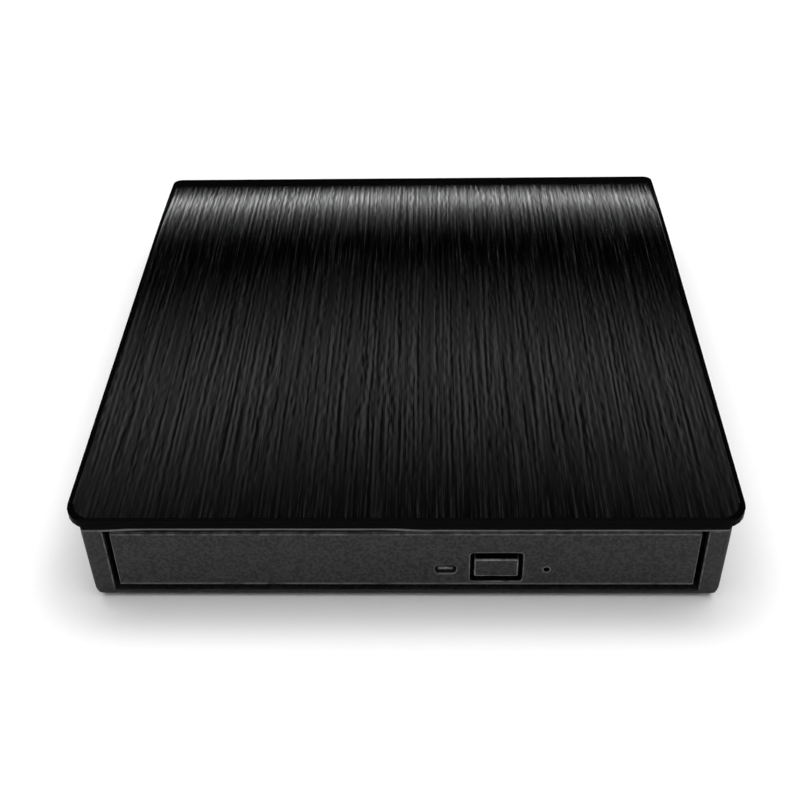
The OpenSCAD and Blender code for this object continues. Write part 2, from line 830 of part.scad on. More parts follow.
module lid_shell() {
    tongue_half = base_in_half - slide_gap;
    tongue_y1 = base_rear_in_y - slide_gap;
    color(black_satin)
        difference() {
            union() {
                intersection() {
                    plan_prism(lid_half, lid_front_y, lid_rear_y, lid_front_r, lid_rear_r,
                        base_top_z, lid_top_z + cut);
                    along_x(lid_half + cut) polygon(lid_section(lid_under_z, lid_top_z));
                }
                intersection() {
                    difference() {
                        plan_prism(base_half, bezel_y, base_rear_y, base_front_r, base_rear_r,
                            base_top_z, lid_top_z);
                        plan_prism(tongue_half - tongue_t, bezel_y + base_wall, tongue_y1 - tongue_t,
                            base_front_r, base_rear_r, base_top_z - cut, lid_top_z + cut);
                    }
                    along_x(lid_half) polygon(lid_section(base_top_z - cut, panel_z - lid_plate_t / 2));
                }
                difference() {
                    plan_prism(tongue_half, bezel_y + tongue_front_inset, tongue_y1, base_front_r,
                        base_rear_r - base_wall, base_top_z - tongue_h, base_top_z + lid_skirt_h / 2);
                    plan_prism(tongue_half - tongue_t, bezel_y, tongue_y1 - tongue_t, base_front_r,
                        base_rear_r - base_wall, base_top_z - tongue_h - cut, lid_top_z);
                }
                for (p = case_bosses)
                    post(p.x, p.y, boss_split_z, lid_under_z - roll_drop + lid_plate_t / 2, case_boss_r);
            }
            lid_field(seat_gap, panel_z, lid_top_z + cut);
            for (p = case_bosses)
                post(p.x, p.y, boss_split_z - cut, base_top_z - lid_boss_cap, case_screw_shank + seat_gap);
        }
}

module lid_panel() {
    color(black_brushed)
        lid_field(0, panel_z, lid_top_z);
}

module rubber_feet() {
    color(rubber_black)
        for (p = feet)
            post(p.x, p.y, 0, base_z + foot_seat, foot_r);
}

module case_screws() {
    color(steel)
        for (p = case_bosses)
            screw_up(p.x, p.y, case_screw_seat_z, case_screw_shank,
                boss_split_z - case_screw_seat_z + case_screw_grip, case_screw_head, case_screw_head_t);
}

module drive_screws() {
    color(steel)
        for (p = drive_pads)
            screw_up(p.x, p.y, case_screw_seat_z, case_screw_shank, pan_floor_z - case_screw_seat_z,
                case_screw_head, case_screw_head_t);
}

// Drive housing
module drive_pan() {
    window_half = link_w / 2 + pass_gap;
    color(steel)
        difference() {
            box(-pan_half, pan_half, pan_front_y, pan_rear_y, pan_z, cover_z);
            box(-pan_in_half, pan_in_half, pan_front_y - cut, pan_rear_y - sheet_t,
                pan_floor_z, cover_z + cut);
            box(-window_half, window_half, pan_rear_y - sheet_t - cut, pan_rear_y + cut,
                pan_floor_z, link_z + link_h + pass_gap);
            for (p = drive_pads)
                post(p.x, p.y, pan_z - cut, pan_floor_z + cut, case_screw_shank + seat_gap);
            for (y = cover_screw_ys)
                rod_x(y, cover_screw_z, -pan_half - cut, pan_half + cut, screw_shank + seat_gap);
            post(-post_x, post_y, pan_z - cut, pan_floor_z + cut, post_r / 2 + seat_gap);
        }
}

module drive_cover() {
    flange_in = pan_half + seat_gap;
    flange_out = flange_in + sheet_t;
    color(steel)
        difference() {
            union() {
                box(-flange_out, flange_out, pan_front_y, pan_rear_y, cover_z - flange_h, cover_top_z);
                post(0, spindle_y, cover_z, cover_top_z + cover_boss_h, cover_boss_r);
            }
            box(-flange_in, flange_in, pan_front_y - cut, pan_rear_y + cut,
                cover_z - flange_h - cut, cover_z);
            post(0, spindle_y, cover_z - cut, cover_z + cover_boss_h, cover_boss_r - sheet_t);
            for (y = cover_screw_ys)
                rod_x(y, cover_screw_z, -flange_out - cut, flange_out + cut, screw_shank + seat_gap);
        }
}

module cover_screws() {
    head_x = pan_half + seat_gap + sheet_t;
    color(bright_steel)
        for (y = cover_screw_ys, side = [0, 1])
            mirror([side, 0, 0]) {
                rod_x(y, cover_screw_z, pan_in_half, head_x, screw_shank);
                rod_x(y, cover_screw_z, head_x, head_x + screw_head_t, cover_screw_head);
            }
}

module rail_guide() {
    color(socket_black)
        difference() {
            box(guide_in, pan_in_half, guide_y, guide_y + guide_len, guide_z, guide_z + guide_h);
            box(guide_in - cut, pan_in_half - guide_back, guide_y - cut, guide_y + guide_len + cut,
                rail_z - slide_gap, rail_z + rail_h + slide_gap);
        }
}

module rail_guide_right() {
    rail_guide();
}

module rail_guide_left() {
    mirror([1, 0, 0])
        rail_guide();
}

module rail() {
    groove = rail_w / 4;
    color(bright_steel)
        difference() {
            box(rail_in, rail_out, rail_y, rail_y + rail_len, rail_z, rail_z + rail_h);
            box(rail_in - cut, rail_in + groove, rail_y + rail_groove_inset,
                rail_y + rail_len - rail_groove_inset, rail_z + rail_h / 3, rail_z + rail_h * 2 / 3);
        }
}

module rail_right() {
    rail();
}

module rail_left() {
    mirror([1, 0, 0])
        rail();
}

// Tray
module tray_cuts() {
    button_pocket_half = slot_half_w + button_rim + pass_gap;
    button_pocket_top = slot_top_z + button_rim + pass_gap;
    post(0, spindle_y, recess_z, rim_z + cut, recess_r);
    post(0, spindle_y, small_recess_z, rim_z + cut, small_disc_d / 2);
    for (side = [0, 1])
        mirror([side, 0, 0])
            box(rail_in - slide_gap, rim_half + cut, tray_front_y - cut, tray_rear_y + cut,
                rail_z - slide_gap, rail_z + rail_h + slide_gap);
    box(button_x - button_pocket_half, button_x + button_pocket_half, tray_front_y - cut, button_pocket_y,
        tray_z - cut, button_pocket_top);
    rod_y(button_x, button_z, tray_front_y, cavity_front_y + cut, button_stem_r + button_stem_room);
    box(light_x - light_w / 2 - seat_gap, light_x + light_w / 2 + seat_gap, tray_front_y - cut,
        board_front_y, light_z - light_h / 2 - seat_gap, light_z + light_h / 2 + seat_gap);
    rod_y(pin_hole_x, light_z, tray_front_y - cut, cavity_front_y + cut, pin_hole_d / 2 + seat_gap);
    box(-post_x - post_lane, -post_x + post_lane, cavity_rear_y - cut, tray_rear_y + cut,
        tray_z - cut, post_top_z + pass_gap);
}

module tray_hollow() {
    difference() {
        union() {
            box(-cavity_half, cavity_half, cavity_front_y, cavity_rear_y, tray_z - cut, skin_z);
            intersection() {
                in_traverse() traverse_plan(traverse_gap, skin_z - cut, recess_z);
                box(-cavity_half, cavity_half, cavity_front_y, cavity_rear_y, skin_z - cut, recess_z);
            }
        }
        for (p = plate_holes)
            post(p.x, p.y, plate_top_z, rim_z, boss_r);
        for (p = board_holes)
            post(p.x, p.y, board_top_z, rim_z, boss_r);
        in_traverse()
            for (p = ears)
                post(p.x, p.y, ear_z + ear_t + damper_flange, rim_z, damper_r);
        post(pivot_x, pivot_y, lever_z + lever_t + lever_play, rim_z, pivot_r + pivot_shoulder);
        post(pivot_x, pivot_y, lever_z - pivot_tip, rim_z, pivot_r);
        box(ejector_x - ejector_bore_r - ejector_wall, ejector_x + ejector_bore_r + ejector_wall, ejector_y,
            cavity_rear_y + cut, plate_top_z + ejector_lift, rim_z);
    }
}

module disc_tray() {
    color(tray_black)
        difference() {
            union() {
                box(-tray_half, tray_half, tray_front_y, tray_rear_y, tray_z, rim_z);
                box(-rim_half, rim_half, tray_front_y, tray_rear_y, rim_under_z, rim_z);
            }
            tray_hollow();
            tray_cuts();
            for (p = plate_holes)
                post(p.x, p.y, tray_z, skin_z, screw_shank + seat_gap);
            for (p = board_holes)
                post(p.x, p.y, board_z, skin_z, screw_shank + seat_gap);
            in_traverse()
                for (p = ears)
                    post(p.x, p.y, ear_z, skin_z, damper_bore_r);
            rod_y(ejector_x, ejector_z, ejector_y + ejector_end_wall, cavity_rear_y,
                ejector_bore_r + run_gap);
            rod_y(ejector_x, ejector_z, cavity_rear_y - cut, tray_rear_y + cut, plunger_r + run_gap);
        }
}

module tray_bezel() {
    bevel = bezel_bevel;
    z1 = bezel_top_z;
    tab_x = bezel_half / 2;
    tab_z = rim_z + bezel_tab_lift;
    tab_t = cover_gap * 0.6;
    color(black_satin)
        difference() {
            union() {
                along_x(bezel_half)
                    polygon([
                        [bezel_y, bezel_z + bevel], [bezel_y + bevel, bezel_z], [tray_front_y, bezel_z],
                        [tray_front_y, z1], [bezel_y + bevel, z1], [bezel_y, z1 - bevel]
                    ]);
                for (side = [-1, 1])
                    box(side * tab_x - bezel_tab_half, side * tab_x + bezel_tab_half, tray_front_y - cut,
                        tray_front_y + bezel_tab_d, tab_z, tab_z + tab_t);
            }
            translate([button_x, 0, 0])
                along_y(bezel_y - cut, tray_front_y + cut)
                    polygon(plan_outline(slot_half_w, slot_low_z, slot_top_z, button_slot_r, button_slot_r));
            box(light_x - light_w / 2 - seat_gap, light_x + light_w / 2 + seat_gap, bezel_y - cut,
                tray_front_y + cut, light_z - light_h / 2 - seat_gap, light_z + light_h / 2 + seat_gap);
            rod_y(pin_hole_x, light_z, bezel_y - cut, tray_front_y + cut, pin_hole_d / 2);
        }
}

module eject_button() {
    flange_half_w = slot_half_w + button_rim;
    color(black_satin) {
        box(button_x - button_w / 2, button_x + button_w / 2, bezel_y + button_setback,
            button_flange_y + button_flange_t, button_z - button_h / 2, button_z + button_h / 2);
        box(button_x - flange_half_w, button_x + flange_half_w, button_flange_y,
            button_flange_y + button_flange_t, slot_low_z - button_rim, slot_top_z + button_rim);
        rod_y(button_x, button_z, button_flange_y, button_stem_y, button_stem_r);
    }
}

module light_pipe() {
    color(milky)
        box(light_x - light_w / 2, light_x + light_w / 2, bezel_y + light_setback, board_front_y - seat_gap,
            light_z - light_h / 2, light_z + light_h / 2);
}

module tray_plate() {
    edge = 0.2;
    color(steel)
        difference() {
            box(-cavity_half + edge, cavity_half - edge, cavity_front_y + edge, cavity_rear_y - edge,
                tray_z, plate_top_z);
            box(-post_x - post_lane, -post_x + post_lane, post_y - post_lane, cavity_rear_y + cut,
                tray_z - cut, plate_top_z + cut);
            for (p = plate_holes)
                post(p.x, p.y, tray_z - cut, plate_top_z + cut, screw_shank + seat_gap);
        }
}

module tray_screws() {
    color(bright_steel) {
        for (p = plate_holes)
            screw_up(p.x, p.y, tray_z, screw_shank, plate_screw_len, screw_head, screw_head_t);
        for (p = board_holes)
            screw_up(p.x, p.y, board_z, screw_shank, board_screw_len, screw_head, screw_head_t);
    }
}

// Traverse
module traverse_plan(grow, z0, z1) {
    box(frame_x0 - grow, frame_x1 + grow, -frame_half - grow, frame_half + grow, z0, z1);
    box(-grow, screw_x1 + frame_wall + grow, 0, screw_side + grow, z0, z1);
}

// An ear's round end and the neck that joins it to the frame, which lies towards the middle of the traverse
module ear_form(p) {
    neck = ear_neck_half;
    root_y = p.y - sign(p.y) * (ear_r + frame_wall / 2);
    post(p.x, p.y, ear_z, ear_z + ear_t, ear_r);
    if (p.y == 0)
        box(p.x, p.x + ear_r + frame_wall, -neck, neck, ear_z, ear_z + ear_t);
    else
        box(p.x - neck, p.x + neck, min(p.y, root_y), max(p.y, root_y), ear_z, ear_z + ear_t);
}

module in_tray_bounds(gap) {
    intersection() {
        children();
        box(-cavity_half + gap, cavity_half - gap, cavity_front_y + gap, cavity_rear_y - gap, tray_z, rim_z);
    }
}

module traverse_frame() {
    color(steel)
        in_tray_bounds(traverse_gap)
            in_traverse()
                difference() {
                    union() {
                        box(frame_x0, frame_x1, -frame_half, frame_half, frame_z, frame_top_z);
                        box(0, screw_x1 + frame_wall, 0, screw_side, frame_z, frame_top_z);
                        for (p = ears)
                            ear_form(p);
                    }
                    box(frame_x0 - cut, near_wall_x, -frame_half - cut, screw_side + cut,
                        ear_z + ear_t, frame_top_z + cut);
                    box(frame_x0 + frame_wall, near_wall_x, -frame_half - cut, screw_side + cut,
                        ear_z, frame_top_z);
                    box(pit_x0, pit_x1, -pit_half, pit_half, frame_z - cut, frame_top_z + cut);
                    box(pit_x0, screw_x1, 0, screw_room, frame_z - cut, frame_top_z + cut);
                    box(near_wall_x - motor_len - motor_room, near_wall_x,
                        screw_offset - motor_r - motor_room, screw_room, frame_z - cut, frame_top_z);
                    post(0, 0, frame_z - cut, frame_top_z, sleeve_r + seat_gap);
                    post(0, 0, turntable_z - rotor_gap, frame_top_z + cut, turntable_r + rotor_gap);
                    for (y = [-rod_offset, rod_offset])
                        rod_x(y, rod_z, near_wall_x - cut, frame_x1 - rod_end_wall, rod_r + seat_gap);
                    rod_x(screw_offset, screw_z, near_wall_x - cut, screw_x1 + frame_wall + cut,
                        screw_r / 2 + run_gap);
                    for (p = ears)
                        post(p.x, p.y, ear_z - cut, ear_z + ear_t + cut, damper_neck_r + seat_gap);
                }
}

module dampers() {
    color(rubber_black)
        in_traverse()
            for (p = ears)
                difference() {
                    union() {
                        post(p.x, p.y, ear_z - damper_flange, ear_z, damper_r);
                        post(p.x, p.y, ear_z - damper_flange, ear_z + ear_t + damper_flange, damper_neck_r);
                        post(p.x, p.y, ear_z + ear_t, ear_z + ear_t + damper_flange, damper_r);
                    }
                    post(p.x, p.y, ear_z - cut, ear_z + ear_t + cut, damper_bore_r);
                }
}

module damper_screws() {
    seat_z = ear_z - damper_flange;
    color(bright_steel)
        in_traverse()
            for (p = ears)
                screw_up(p.x, p.y, seat_z, damper_bore_r - seat_gap, skin_z - seat_z - damper_screw_end,
                    damper_screw_head, damper_screw_head_t);
}

module spindle_base() {
    color(steel)
        in_traverse()
            difference() {
                union() {
                    post(0, 0, stator_z, stator_top_z, stator_r);
                    post(0, 0, frame_z, stator_top_z + sleeve_over, sleeve_r);
                }
                post(0, 0, frame_z + sleeve_floor, turntable_z, shaft_r + run_gap);
            }
}

module clamp_places() {
    for (i = [0:ball_count - 1])
        rotate([0, 0, i * 360 / ball_count])
            translate([hub_r - ball_r / 2, 0, ball_z])
                children();
}

module spindle_rotor() {
    color(bright_steel)
        in_traverse()
            difference() {
                union() {
                    post(0, 0, frame_z + sleeve_floor + shaft_end_gap, turntable_z + cut, shaft_r);
                    post(0, 0, turntable_z, pad_z, turntable_r);
                    post(0, 0, turntable_z, pad_z + hub_h, hub_r);
                    difference() {
                        post(0, 0, stator_top_z - skirt_lap, turntable_z + turntable_t / 2, skirt_r);
                        post(0, 0, stator_top_z - skirt_lap - cut, turntable_z, skirt_in);
                    }
                }
                clamp_places() {
                    sphere(ball_r + seat_gap);
                    rotate([0, 90, 0])
                        cylinder(h = ball_r * 2, r = ball_r + seat_gap);
                }
                post(0, 0, pad_z + hub_h - hub_dish, pad_z + hub_h + cut, hub_r * 0.45);
            }
}

module turntable_pad() {
    color(rubber_black)
        in_traverse()
            difference() {
                post(0, 0, pad_z, pad_z + pad_t, turntable_r - pad_edge);
                post(0, 0, pad_z - cut, pad_z + pad_t + cut, hub_r + pad_hub_gap);
            }
}

module clamp_balls() {
    color(bright_steel)
        in_traverse()
            clamp_places()
                sphere(ball_r);
}

module guide_rods() {
    color(bright_steel)
        in_traverse()
            for (y = [-rod_offset, rod_offset])
                rod_x(y, rod_z, near_wall_x, frame_x1 - frame_wall / 2, rod_r);
}

// Sled and lens, drawn about the lens's axis
module at_lens() {
    in_traverse()
        translate([lens_r_min, 0, 0])
            children();
}

module pickup_sled() {
    half = sled_len / 2;
    arm_end = screw_offset - screw_r - pass_gap;
    arm_x = nut_arm_inset - half;
    notch_x = half - notch_inset;
    color(steel)
        at_lens()
            difference() {
                union() {
                    box(-half, half, -sled_half_w, sled_half_w, sled_z, sled_top_z);
                    box(arm_x, arm_x + nut_arm_w, 0, arm_end, screw_z - nut_arm_half, screw_z + nut_arm_half);
                }
                box(-lens_pit_half.x, lens_pit_half.x, -lens_pit_half.y, lens_pit_half.y,
                    lens_pit_z, sled_top_z + cut);
                rod_x(rod_offset, rod_z, -half - cut, half + cut, rod_r + run_gap);
                rod_x(-rod_offset, rod_z, -half - cut, half + cut, rod_r + run_gap);
                box(-half - cut, half + cut, -sled_half_w - cut, -rod_offset,
                    rod_z - rod_r - run_gap, rod_z + rod_r + run_gap);
                for (side = [-1, 1])
                    box(side * notch_x - notch_half, side * notch_x + notch_half,
                        -lens_pit_half.y - notch_half, lens_pit_half.y - notch_inset,
                        sled_top_z - notch_d, sled_top_z + cut);
            }
}

module lens_magnets() {
    color(chip_black)
        at_lens()
            for (side = [-1, 1])
                translate([side * (holder_half.x + magnet_gap + magnet_t / 2), 0, 0])
                    box(-magnet_t / 2, magnet_t / 2, -magnet_half, magnet_half, lens_pit_z, sled_top_z);
}

module lens_holder() {
    color(chip_black)
        at_lens()
            difference() {
                box(-holder_half.x, holder_half.x, -holder_half.y, holder_half.y, holder_z, holder_top_z);
                post(0, 0, holder_z - cut, holder_top_z + cut, lens_r - lens_ledge);
                post(0, 0, holder_top_z - lens_seat, holder_top_z + cut, lens_r + seat_gap);
            }
}

module objective_lens() {
    dome_r = lens_r * 2.2;
    seat_z = holder_top_z - lens_seat;
    color(lens_blue)
        at_lens()
            intersection() {
                post(0, 0, seat_z, seat_z + lens_h + cut, lens_r);
                translate([0, 0, seat_z + lens_h - dome_r])
                    sphere(dome_r);
            }
}

module lead_screw() {
    thread_x0 = pit_x0 + thread_end_gap;
    thread_x1 = screw_x1 - thread_end_gap;
    end_x = screw_x1 + frame_wall - shaft_end_gap;
    crest = screw_r * 0.2;
    turns = (thread_x1 - thread_x0) / screw_pitch;
    color(bright_steel)
        in_traverse() {
            rod_x(screw_offset, screw_z, near_wall_x - screw_in_motor, end_x, screw_r / 2);
            translate([thread_x0, screw_offset, screw_z])
                rotate([0, 90, 0])
                    linear_extrude(thread_x1 - thread_x0, twist = -360 * turns,
                        slices = ceil(turns * turn_slices), $fn = thread_sides)
                        translate([crest, 0])
                            circle(r = screw_r - crest, $fn = thread_sides);
        }
}

module feed_motor() {
    color(steel)
        in_traverse()
            difference() {
                union() {
                    rod_x(screw_offset, screw_z, near_wall_x - motor_len, near_wall_x, motor_r);
                    box(near_wall_x - motor_flange_t, near_wall_x, screw_offset - motor_r,
                        screw_offset + motor_r, screw_z - motor_r * 0.9, screw_z + motor_r * 0.9);
                }
                rod_x(screw_offset, screw_z, near_wall_x - screw_in_motor - screw_bore_end, near_wall_x + cut,
                    screw_r / 2 + run_gap);
            }
}

module deck_cover() {
    z1 = frame_top_z + deck_t;
    color(steel)
        in_tray_bounds(traverse_gap)
            in_traverse()
                difference() {
                    union() {
                        box(frame_x0 + deck_inset, frame_x1 - deck_inset, -frame_half + deck_inset,
                            frame_half - deck_inset, frame_top_z, z1);
                        box(deck_inset, screw_x1 + frame_wall - deck_inset, 0, screw_side - deck_inset,
                            frame_top_z, z1);
                    }
                    post(0, 0, frame_top_z - cut, z1 + cut, turntable_r + turntable_hole_gap);
                    box(0, pit_x1, -deck_slot_half, deck_slot_half, frame_top_z - cut, z1 + cut);
                }
}

// Boards
module main_board() {
    color(board_green)
        difference() {
            union() {
                box(board_left_x, board_inner_x, board_front_y, board_back_y, board_z, board_top_z);
                box(board_left_x, board_right_x, board_front_y, board_strip_y, board_z, board_top_z);
            }
            for (p = board_holes)
                post(p.x, p.y, board_z - cut, board_top_z + cut, screw_shank + seat_gap);
        }
}

module board_chips() {
    chip_x = (board_left_x + board_inner_x) / 2;
    chip_y = (board_strip_y + board_back_y) / 2;
    color(chip_black) {
        chip([chip_x, chip_y], [main_chip_half, main_chip_half], board_top_z, main_chip_h);
        chip([chip_x, chip_y] + memory_at, memory_half, board_top_z, small_chip_h);
        chip([chip_x, chip_y] + driver_at, driver_half, board_top_z, small_chip_h);
        box(light_x - emitter_half, light_x + emitter_half, board_front_y + emitter_inset,
            board_front_y + emitter_inset + emitter_d, board_top_z, light_z);
    }
}

module eject_switch() {
    color(chip_black) {
        box(button_x - switch_half, button_x + switch_half, board_front_y - switch_d / 2,
            board_front_y + switch_d / 2, board_top_z, board_top_z + switch_h);
        rod_y(button_x, button_z, button_stem_y + button_travel + slide_gap, board_front_y, switch_stem_r);
    }
}

module flex_cable() {
    mid_z = (flex_low_z + flex_high_z + flex_t) / 2;
    outer_r = (flex_high_z + flex_t - flex_low_z) / 2;
    inner_r = outer_r - flex_t;
    color(flex_white)
        translate([flex_x, 0, 0])
            along_x(flex_w / 2)
                polygon(concat(
                    [[flex_socket_y, flex_low_z]],
                    arc(flex_fold_y, mid_z, outer_r, 270, 90),
                    [[flex_end_y, flex_high_z + flex_t], [flex_end_y, flex_high_z]],
                    arc(flex_fold_y, mid_z, inner_r, 90, 270),
                    [[flex_socket_y, flex_low_z + flex_t]]
                ));
}

module flex_socket() {
    half = flex_w / 2 + flex_socket_side;
    color(socket_black)
        box(flex_x - half, flex_x + half, flex_socket_y, flex_socket_y + flex_socket_d,
            pan_floor_z, pan_floor_z + flex_socket_h);
}

// Latch
module latch_lever() {
    hook_x = -hook_reach - post_r - pass_gap;
    hook_y = hook_rise + post_r + pass_gap;
    color(bright_steel)
        translate([pivot_x, pivot_y, lever_z])
            rotate([0, 0, -latch_swing])
                difference() {
                    union() {
                        cylinder(h = lever_t, r = pivot_r + lever_eye);
                        linear_extrude(lever_t)
                            polygon([
                                [-lever_root.x, -1], [-lever_neck.x, hook_y], [hook_x, hook_y],
                                [hook_x, hook_y + hook_t], [-lever_neck.y, hook_y + hook_t], [lever_root.y, 1]
                            ]);
                        linear_extrude(lever_t)
                            polygon([-tail_root, -tail_end, -tail_tip, [lever_root.y, -tail_root.y]]);
                    }
                    translate([0, 0, -cut])
                        cylinder(h = lever_t + 2 * cut, r = pivot_r + run_gap);
                }
}

module latch_solenoid() {
    y1 = pivot_y - solenoid_gap;
    color(copper) {
        box(solenoid_x[0] - post_x, solenoid_x[1] - post_x, y1 - solenoid_d, y1, skin_z - solenoid_h, skin_z);
        rod_y(-post_x - armature_x, skin_z - armature_drop, y1 - armature_out, y1 + armature_out, armature_r);
    }
}

module latch_post() {
    color(bright_steel) {
        post(-post_x, post_y, pan_floor_z, post_top_z, post_r);
        post(-post_x, post_y, pan_z, pan_floor_z, post_r / 2);
    }
}

// Ejector
module eject_plunger() {
    nose_end_y = pan_rear_y - sheet_t - pass_gap;
    color(milky) {
        rod_y(ejector_x, ejector_z, plunger_flange_y, plunger_flange_y + plunger_flange_t, ejector_bore_r);
        rod_y(ejector_x, ejector_z, plunger_flange_y, nose_end_y, plunger_r);
        rod_y(ejector_x, ejector_z, plunger_flange_y - plunger_tail, plunger_flange_y,
            spring_bore_r - plunger_tail_gap);
    }
}

module eject_spring() {
    y0 = ejector_y + ejector_end_wall;
    color(bright_steel)
        difference() {
            rod_y(ejector_x, ejector_z, y0, plunger_flange_y, spring_r);
            rod_y(ejector_x, ejector_z, y0 - cut, plunger_flange_y + cut, spring_bore_r);
        }
}

// Rear connectors
module connector_board() {
    color(board_green)
        box(-link_w / 2 - link_side, link_w / 2 + link_side, link_board_y,
            pan_rear_y - sheet_t - link_end_gap, pan_floor_z, link_z);
}

module drive_socket() {
    color(socket_black)
        box(-link_w / 2, link_w / 2, link_board_y + link_setback, pan_rear_y, link_z, link_z + link_h);
}

module bridge_board() {
    color(board_green)
        difference() {
            box(-bridge_w / 2, bridge_w / 2, bridge_y0, bridge_y1, bridge_z, bridge_top_z);
            for (p = bridge_posts)
                post(p.x, p.y, bridge_z - cut, bridge_top_z + cut, screw_shank + seat_gap);
        }
}

module bridge_chips() {
    y = (bridge_y0 + plug_d + bridge_y1) / 2;
    color(chip_black) {
        chip([bridge_chip_x, y], bridge_chip_half, bridge_top_z, main_chip_h);
        chip([clock_x, y], [clock_half, clock_half], bridge_top_z, clock_h);
    }
}

module bridge_screws() {
    color(bright_steel)
        for (p = bridge_posts) {
            post(p.x, p.y, bridge_top_z, bridge_top_z + screw_head_t * 2, screw_head);
            post(p.x, p.y, floor_z + bridge_screw_end, bridge_top_z, screw_shank);
        }
}

module bridge_plug() {
    color(socket_black)
        box(-link_w / 2, link_w / 2, pan_rear_y, bridge_y0 + plug_d, bridge_top_z, link_z + link_h);
}

module usb_receptacle() {
    half = usb_w / 2;
    step = usb_h * 0.25;
    w = usb_wall;
    split = half * 0.3;
    outline = [
        [-half, step], [-half + step, 0], [split - step, 0], [split, step], [split + step, 0],
        [half - step, 0], [half, step], [half, usb_h], [-half, usb_h]
    ];
    inner = [
        [-half + w, step + w / 2], [-half + step + w / 2, w], [split - step - w / 2, w], [split, step + w],
        [split + step + w / 2, w], [half - step - w / 2, w], [half - w, step + w / 2],
        [half - w, usb_h - w], [-half + w, usb_h - w]
    ];
    color(bright_steel)
        translate([usb_x, 0, bridge_top_z])
            difference() {
                along_y(usb_y0, usb_y1) polygon(outline);
                along_y(usb_y0 + usb_back, usb_y1 + cut) polygon(inner);
            }
    color(socket_black)
        translate([usb_x, 0, bridge_top_z]) {
            box(usb_tongue_inset - half, split - usb_tongue_side, usb_y0 + usb_tongue_root,
                usb_y1 - usb_tongue_end, usb_h * 0.52, usb_h * 0.72);
            box(split + usb_tongue_side, half - usb_tongue_inset, usb_y0 + usb_tongue_root,
                usb_y1 - usb_tongue_end, usb_h * 0.52, usb_h * 0.72);
        }
}

base_shell();
lid_shell();
lid_panel();
rubber_feet();
case_screws();
drive_screws();
drive_pan();
drive_cover();
cover_screws();
rail_guide_left();
rail_guide_right();
rail_left();
rail_right();
disc_tray();
tray_bezel();
eject_button();
light_pipe();
tray_plate();
tray_screws();
traverse_frame();
dampers();
damper_screws();
spindle_base();
spindle_rotor();
turntable_pad();
clamp_balls();
guide_rods();
pickup_sled();
lens_magnets();
lens_holder();
objective_lens();
lead_screw();
feed_motor();
deck_cover();
main_board();
board_chips();
eject_switch();
flex_cable();
flex_socket();
latch_lever();
latch_solenoid();
latch_post();
eject_plunger();
eject_spring();
connector_board();
drive_socket();
bridge_board();
bridge_chips();
bridge_screws();
bridge_plug();
usb_receptacle();
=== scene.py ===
import json
import math

import bmesh
import bpy
from mathutils import Euler, Matrix, Vector


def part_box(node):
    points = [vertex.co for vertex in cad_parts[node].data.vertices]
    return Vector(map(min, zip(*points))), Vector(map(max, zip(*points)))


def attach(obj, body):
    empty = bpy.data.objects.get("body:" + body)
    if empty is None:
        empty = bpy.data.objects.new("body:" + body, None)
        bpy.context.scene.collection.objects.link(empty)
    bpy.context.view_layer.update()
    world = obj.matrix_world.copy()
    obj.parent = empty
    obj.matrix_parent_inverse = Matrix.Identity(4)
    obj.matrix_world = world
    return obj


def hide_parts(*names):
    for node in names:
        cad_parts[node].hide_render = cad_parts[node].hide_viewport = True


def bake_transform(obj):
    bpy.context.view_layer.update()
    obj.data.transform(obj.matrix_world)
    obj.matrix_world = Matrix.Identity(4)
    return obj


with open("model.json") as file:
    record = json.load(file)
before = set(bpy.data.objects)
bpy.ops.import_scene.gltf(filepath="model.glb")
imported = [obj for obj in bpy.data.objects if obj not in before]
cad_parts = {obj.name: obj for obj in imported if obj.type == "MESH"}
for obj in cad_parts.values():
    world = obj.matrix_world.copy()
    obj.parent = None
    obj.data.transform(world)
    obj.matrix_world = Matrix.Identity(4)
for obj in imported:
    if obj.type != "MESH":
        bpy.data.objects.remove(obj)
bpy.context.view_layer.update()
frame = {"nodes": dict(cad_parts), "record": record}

# Sizes are in metres, so MM turns a drawing's millimetres into them.
MM = 0.001
FULL_TURN = 2 * math.pi

scene = bpy.context.scene
scene.view_settings.view_transform = "Standard"
BODY_OF = {node: body for body, nodes in frame["record"]["behaviour"]["bodies"].items() for node in nodes}


# Camera: the photograph's place, turn and field of view.
PHOTO_SIDE_PX = 800
FOCAL_PX = 1235
SENSOR_MM = 36
CAMERA_AT = Vector((6.04, -260.22, 206.82)) * MM
PITCH, YAW, ROLL = (math.radians(a) for a in (38.99, -1.905, -1.38))


def set_camera():
    forward = Vector((math.sin(YAW) * math.cos(PITCH), math.cos(YAW) * math.cos(PITCH), -math.sin(PITCH)))
    level = Vector((math.cos(YAW), -math.sin(YAW), 0))
    rise = level.cross(forward)
    right = math.cos(ROLL) * level + math.sin(ROLL) * rise
    up = math.cos(ROLL) * rise - math.sin(ROLL) * level
    lens = bpy.data.cameras.new("photo_camera")
    lens.sensor_width = SENSOR_MM
    lens.lens = SENSOR_MM * FOCAL_PX / PHOTO_SIDE_PX
    lens.clip_start = 10 * MM
    camera = bpy.data.objects.new("photo_camera", lens)
    turn = Matrix((right, up, -forward)).transposed().to_4x4()
    camera.matrix_world = Matrix.Translation(CAMERA_AT) @ turn
    scene.collection.objects.link(camera)
    scene.camera = camera


set_camera()


# Node helpers.
def link(tree, source, target):
    tree.links.new(source, target)


def value_node(tree, operation, first, second=None):
    node = tree.nodes.new("ShaderNodeMath")
    node.operation = operation
    for socket, value in zip(node.inputs, (first, second)):
        if isinstance(value, (int, float)):
            socket.default_value = value
        elif value is not None:
            link(tree, value, socket)
    return node.outputs[0]


def times(tree, first, second):
    return value_node(tree, "MULTIPLY", first, second)


def length_node(tree, across, up):
    squares = value_node(tree, "ADD", times(tree, across, across), times(tree, up, up))
    return value_node(tree, "SQRT", squares)


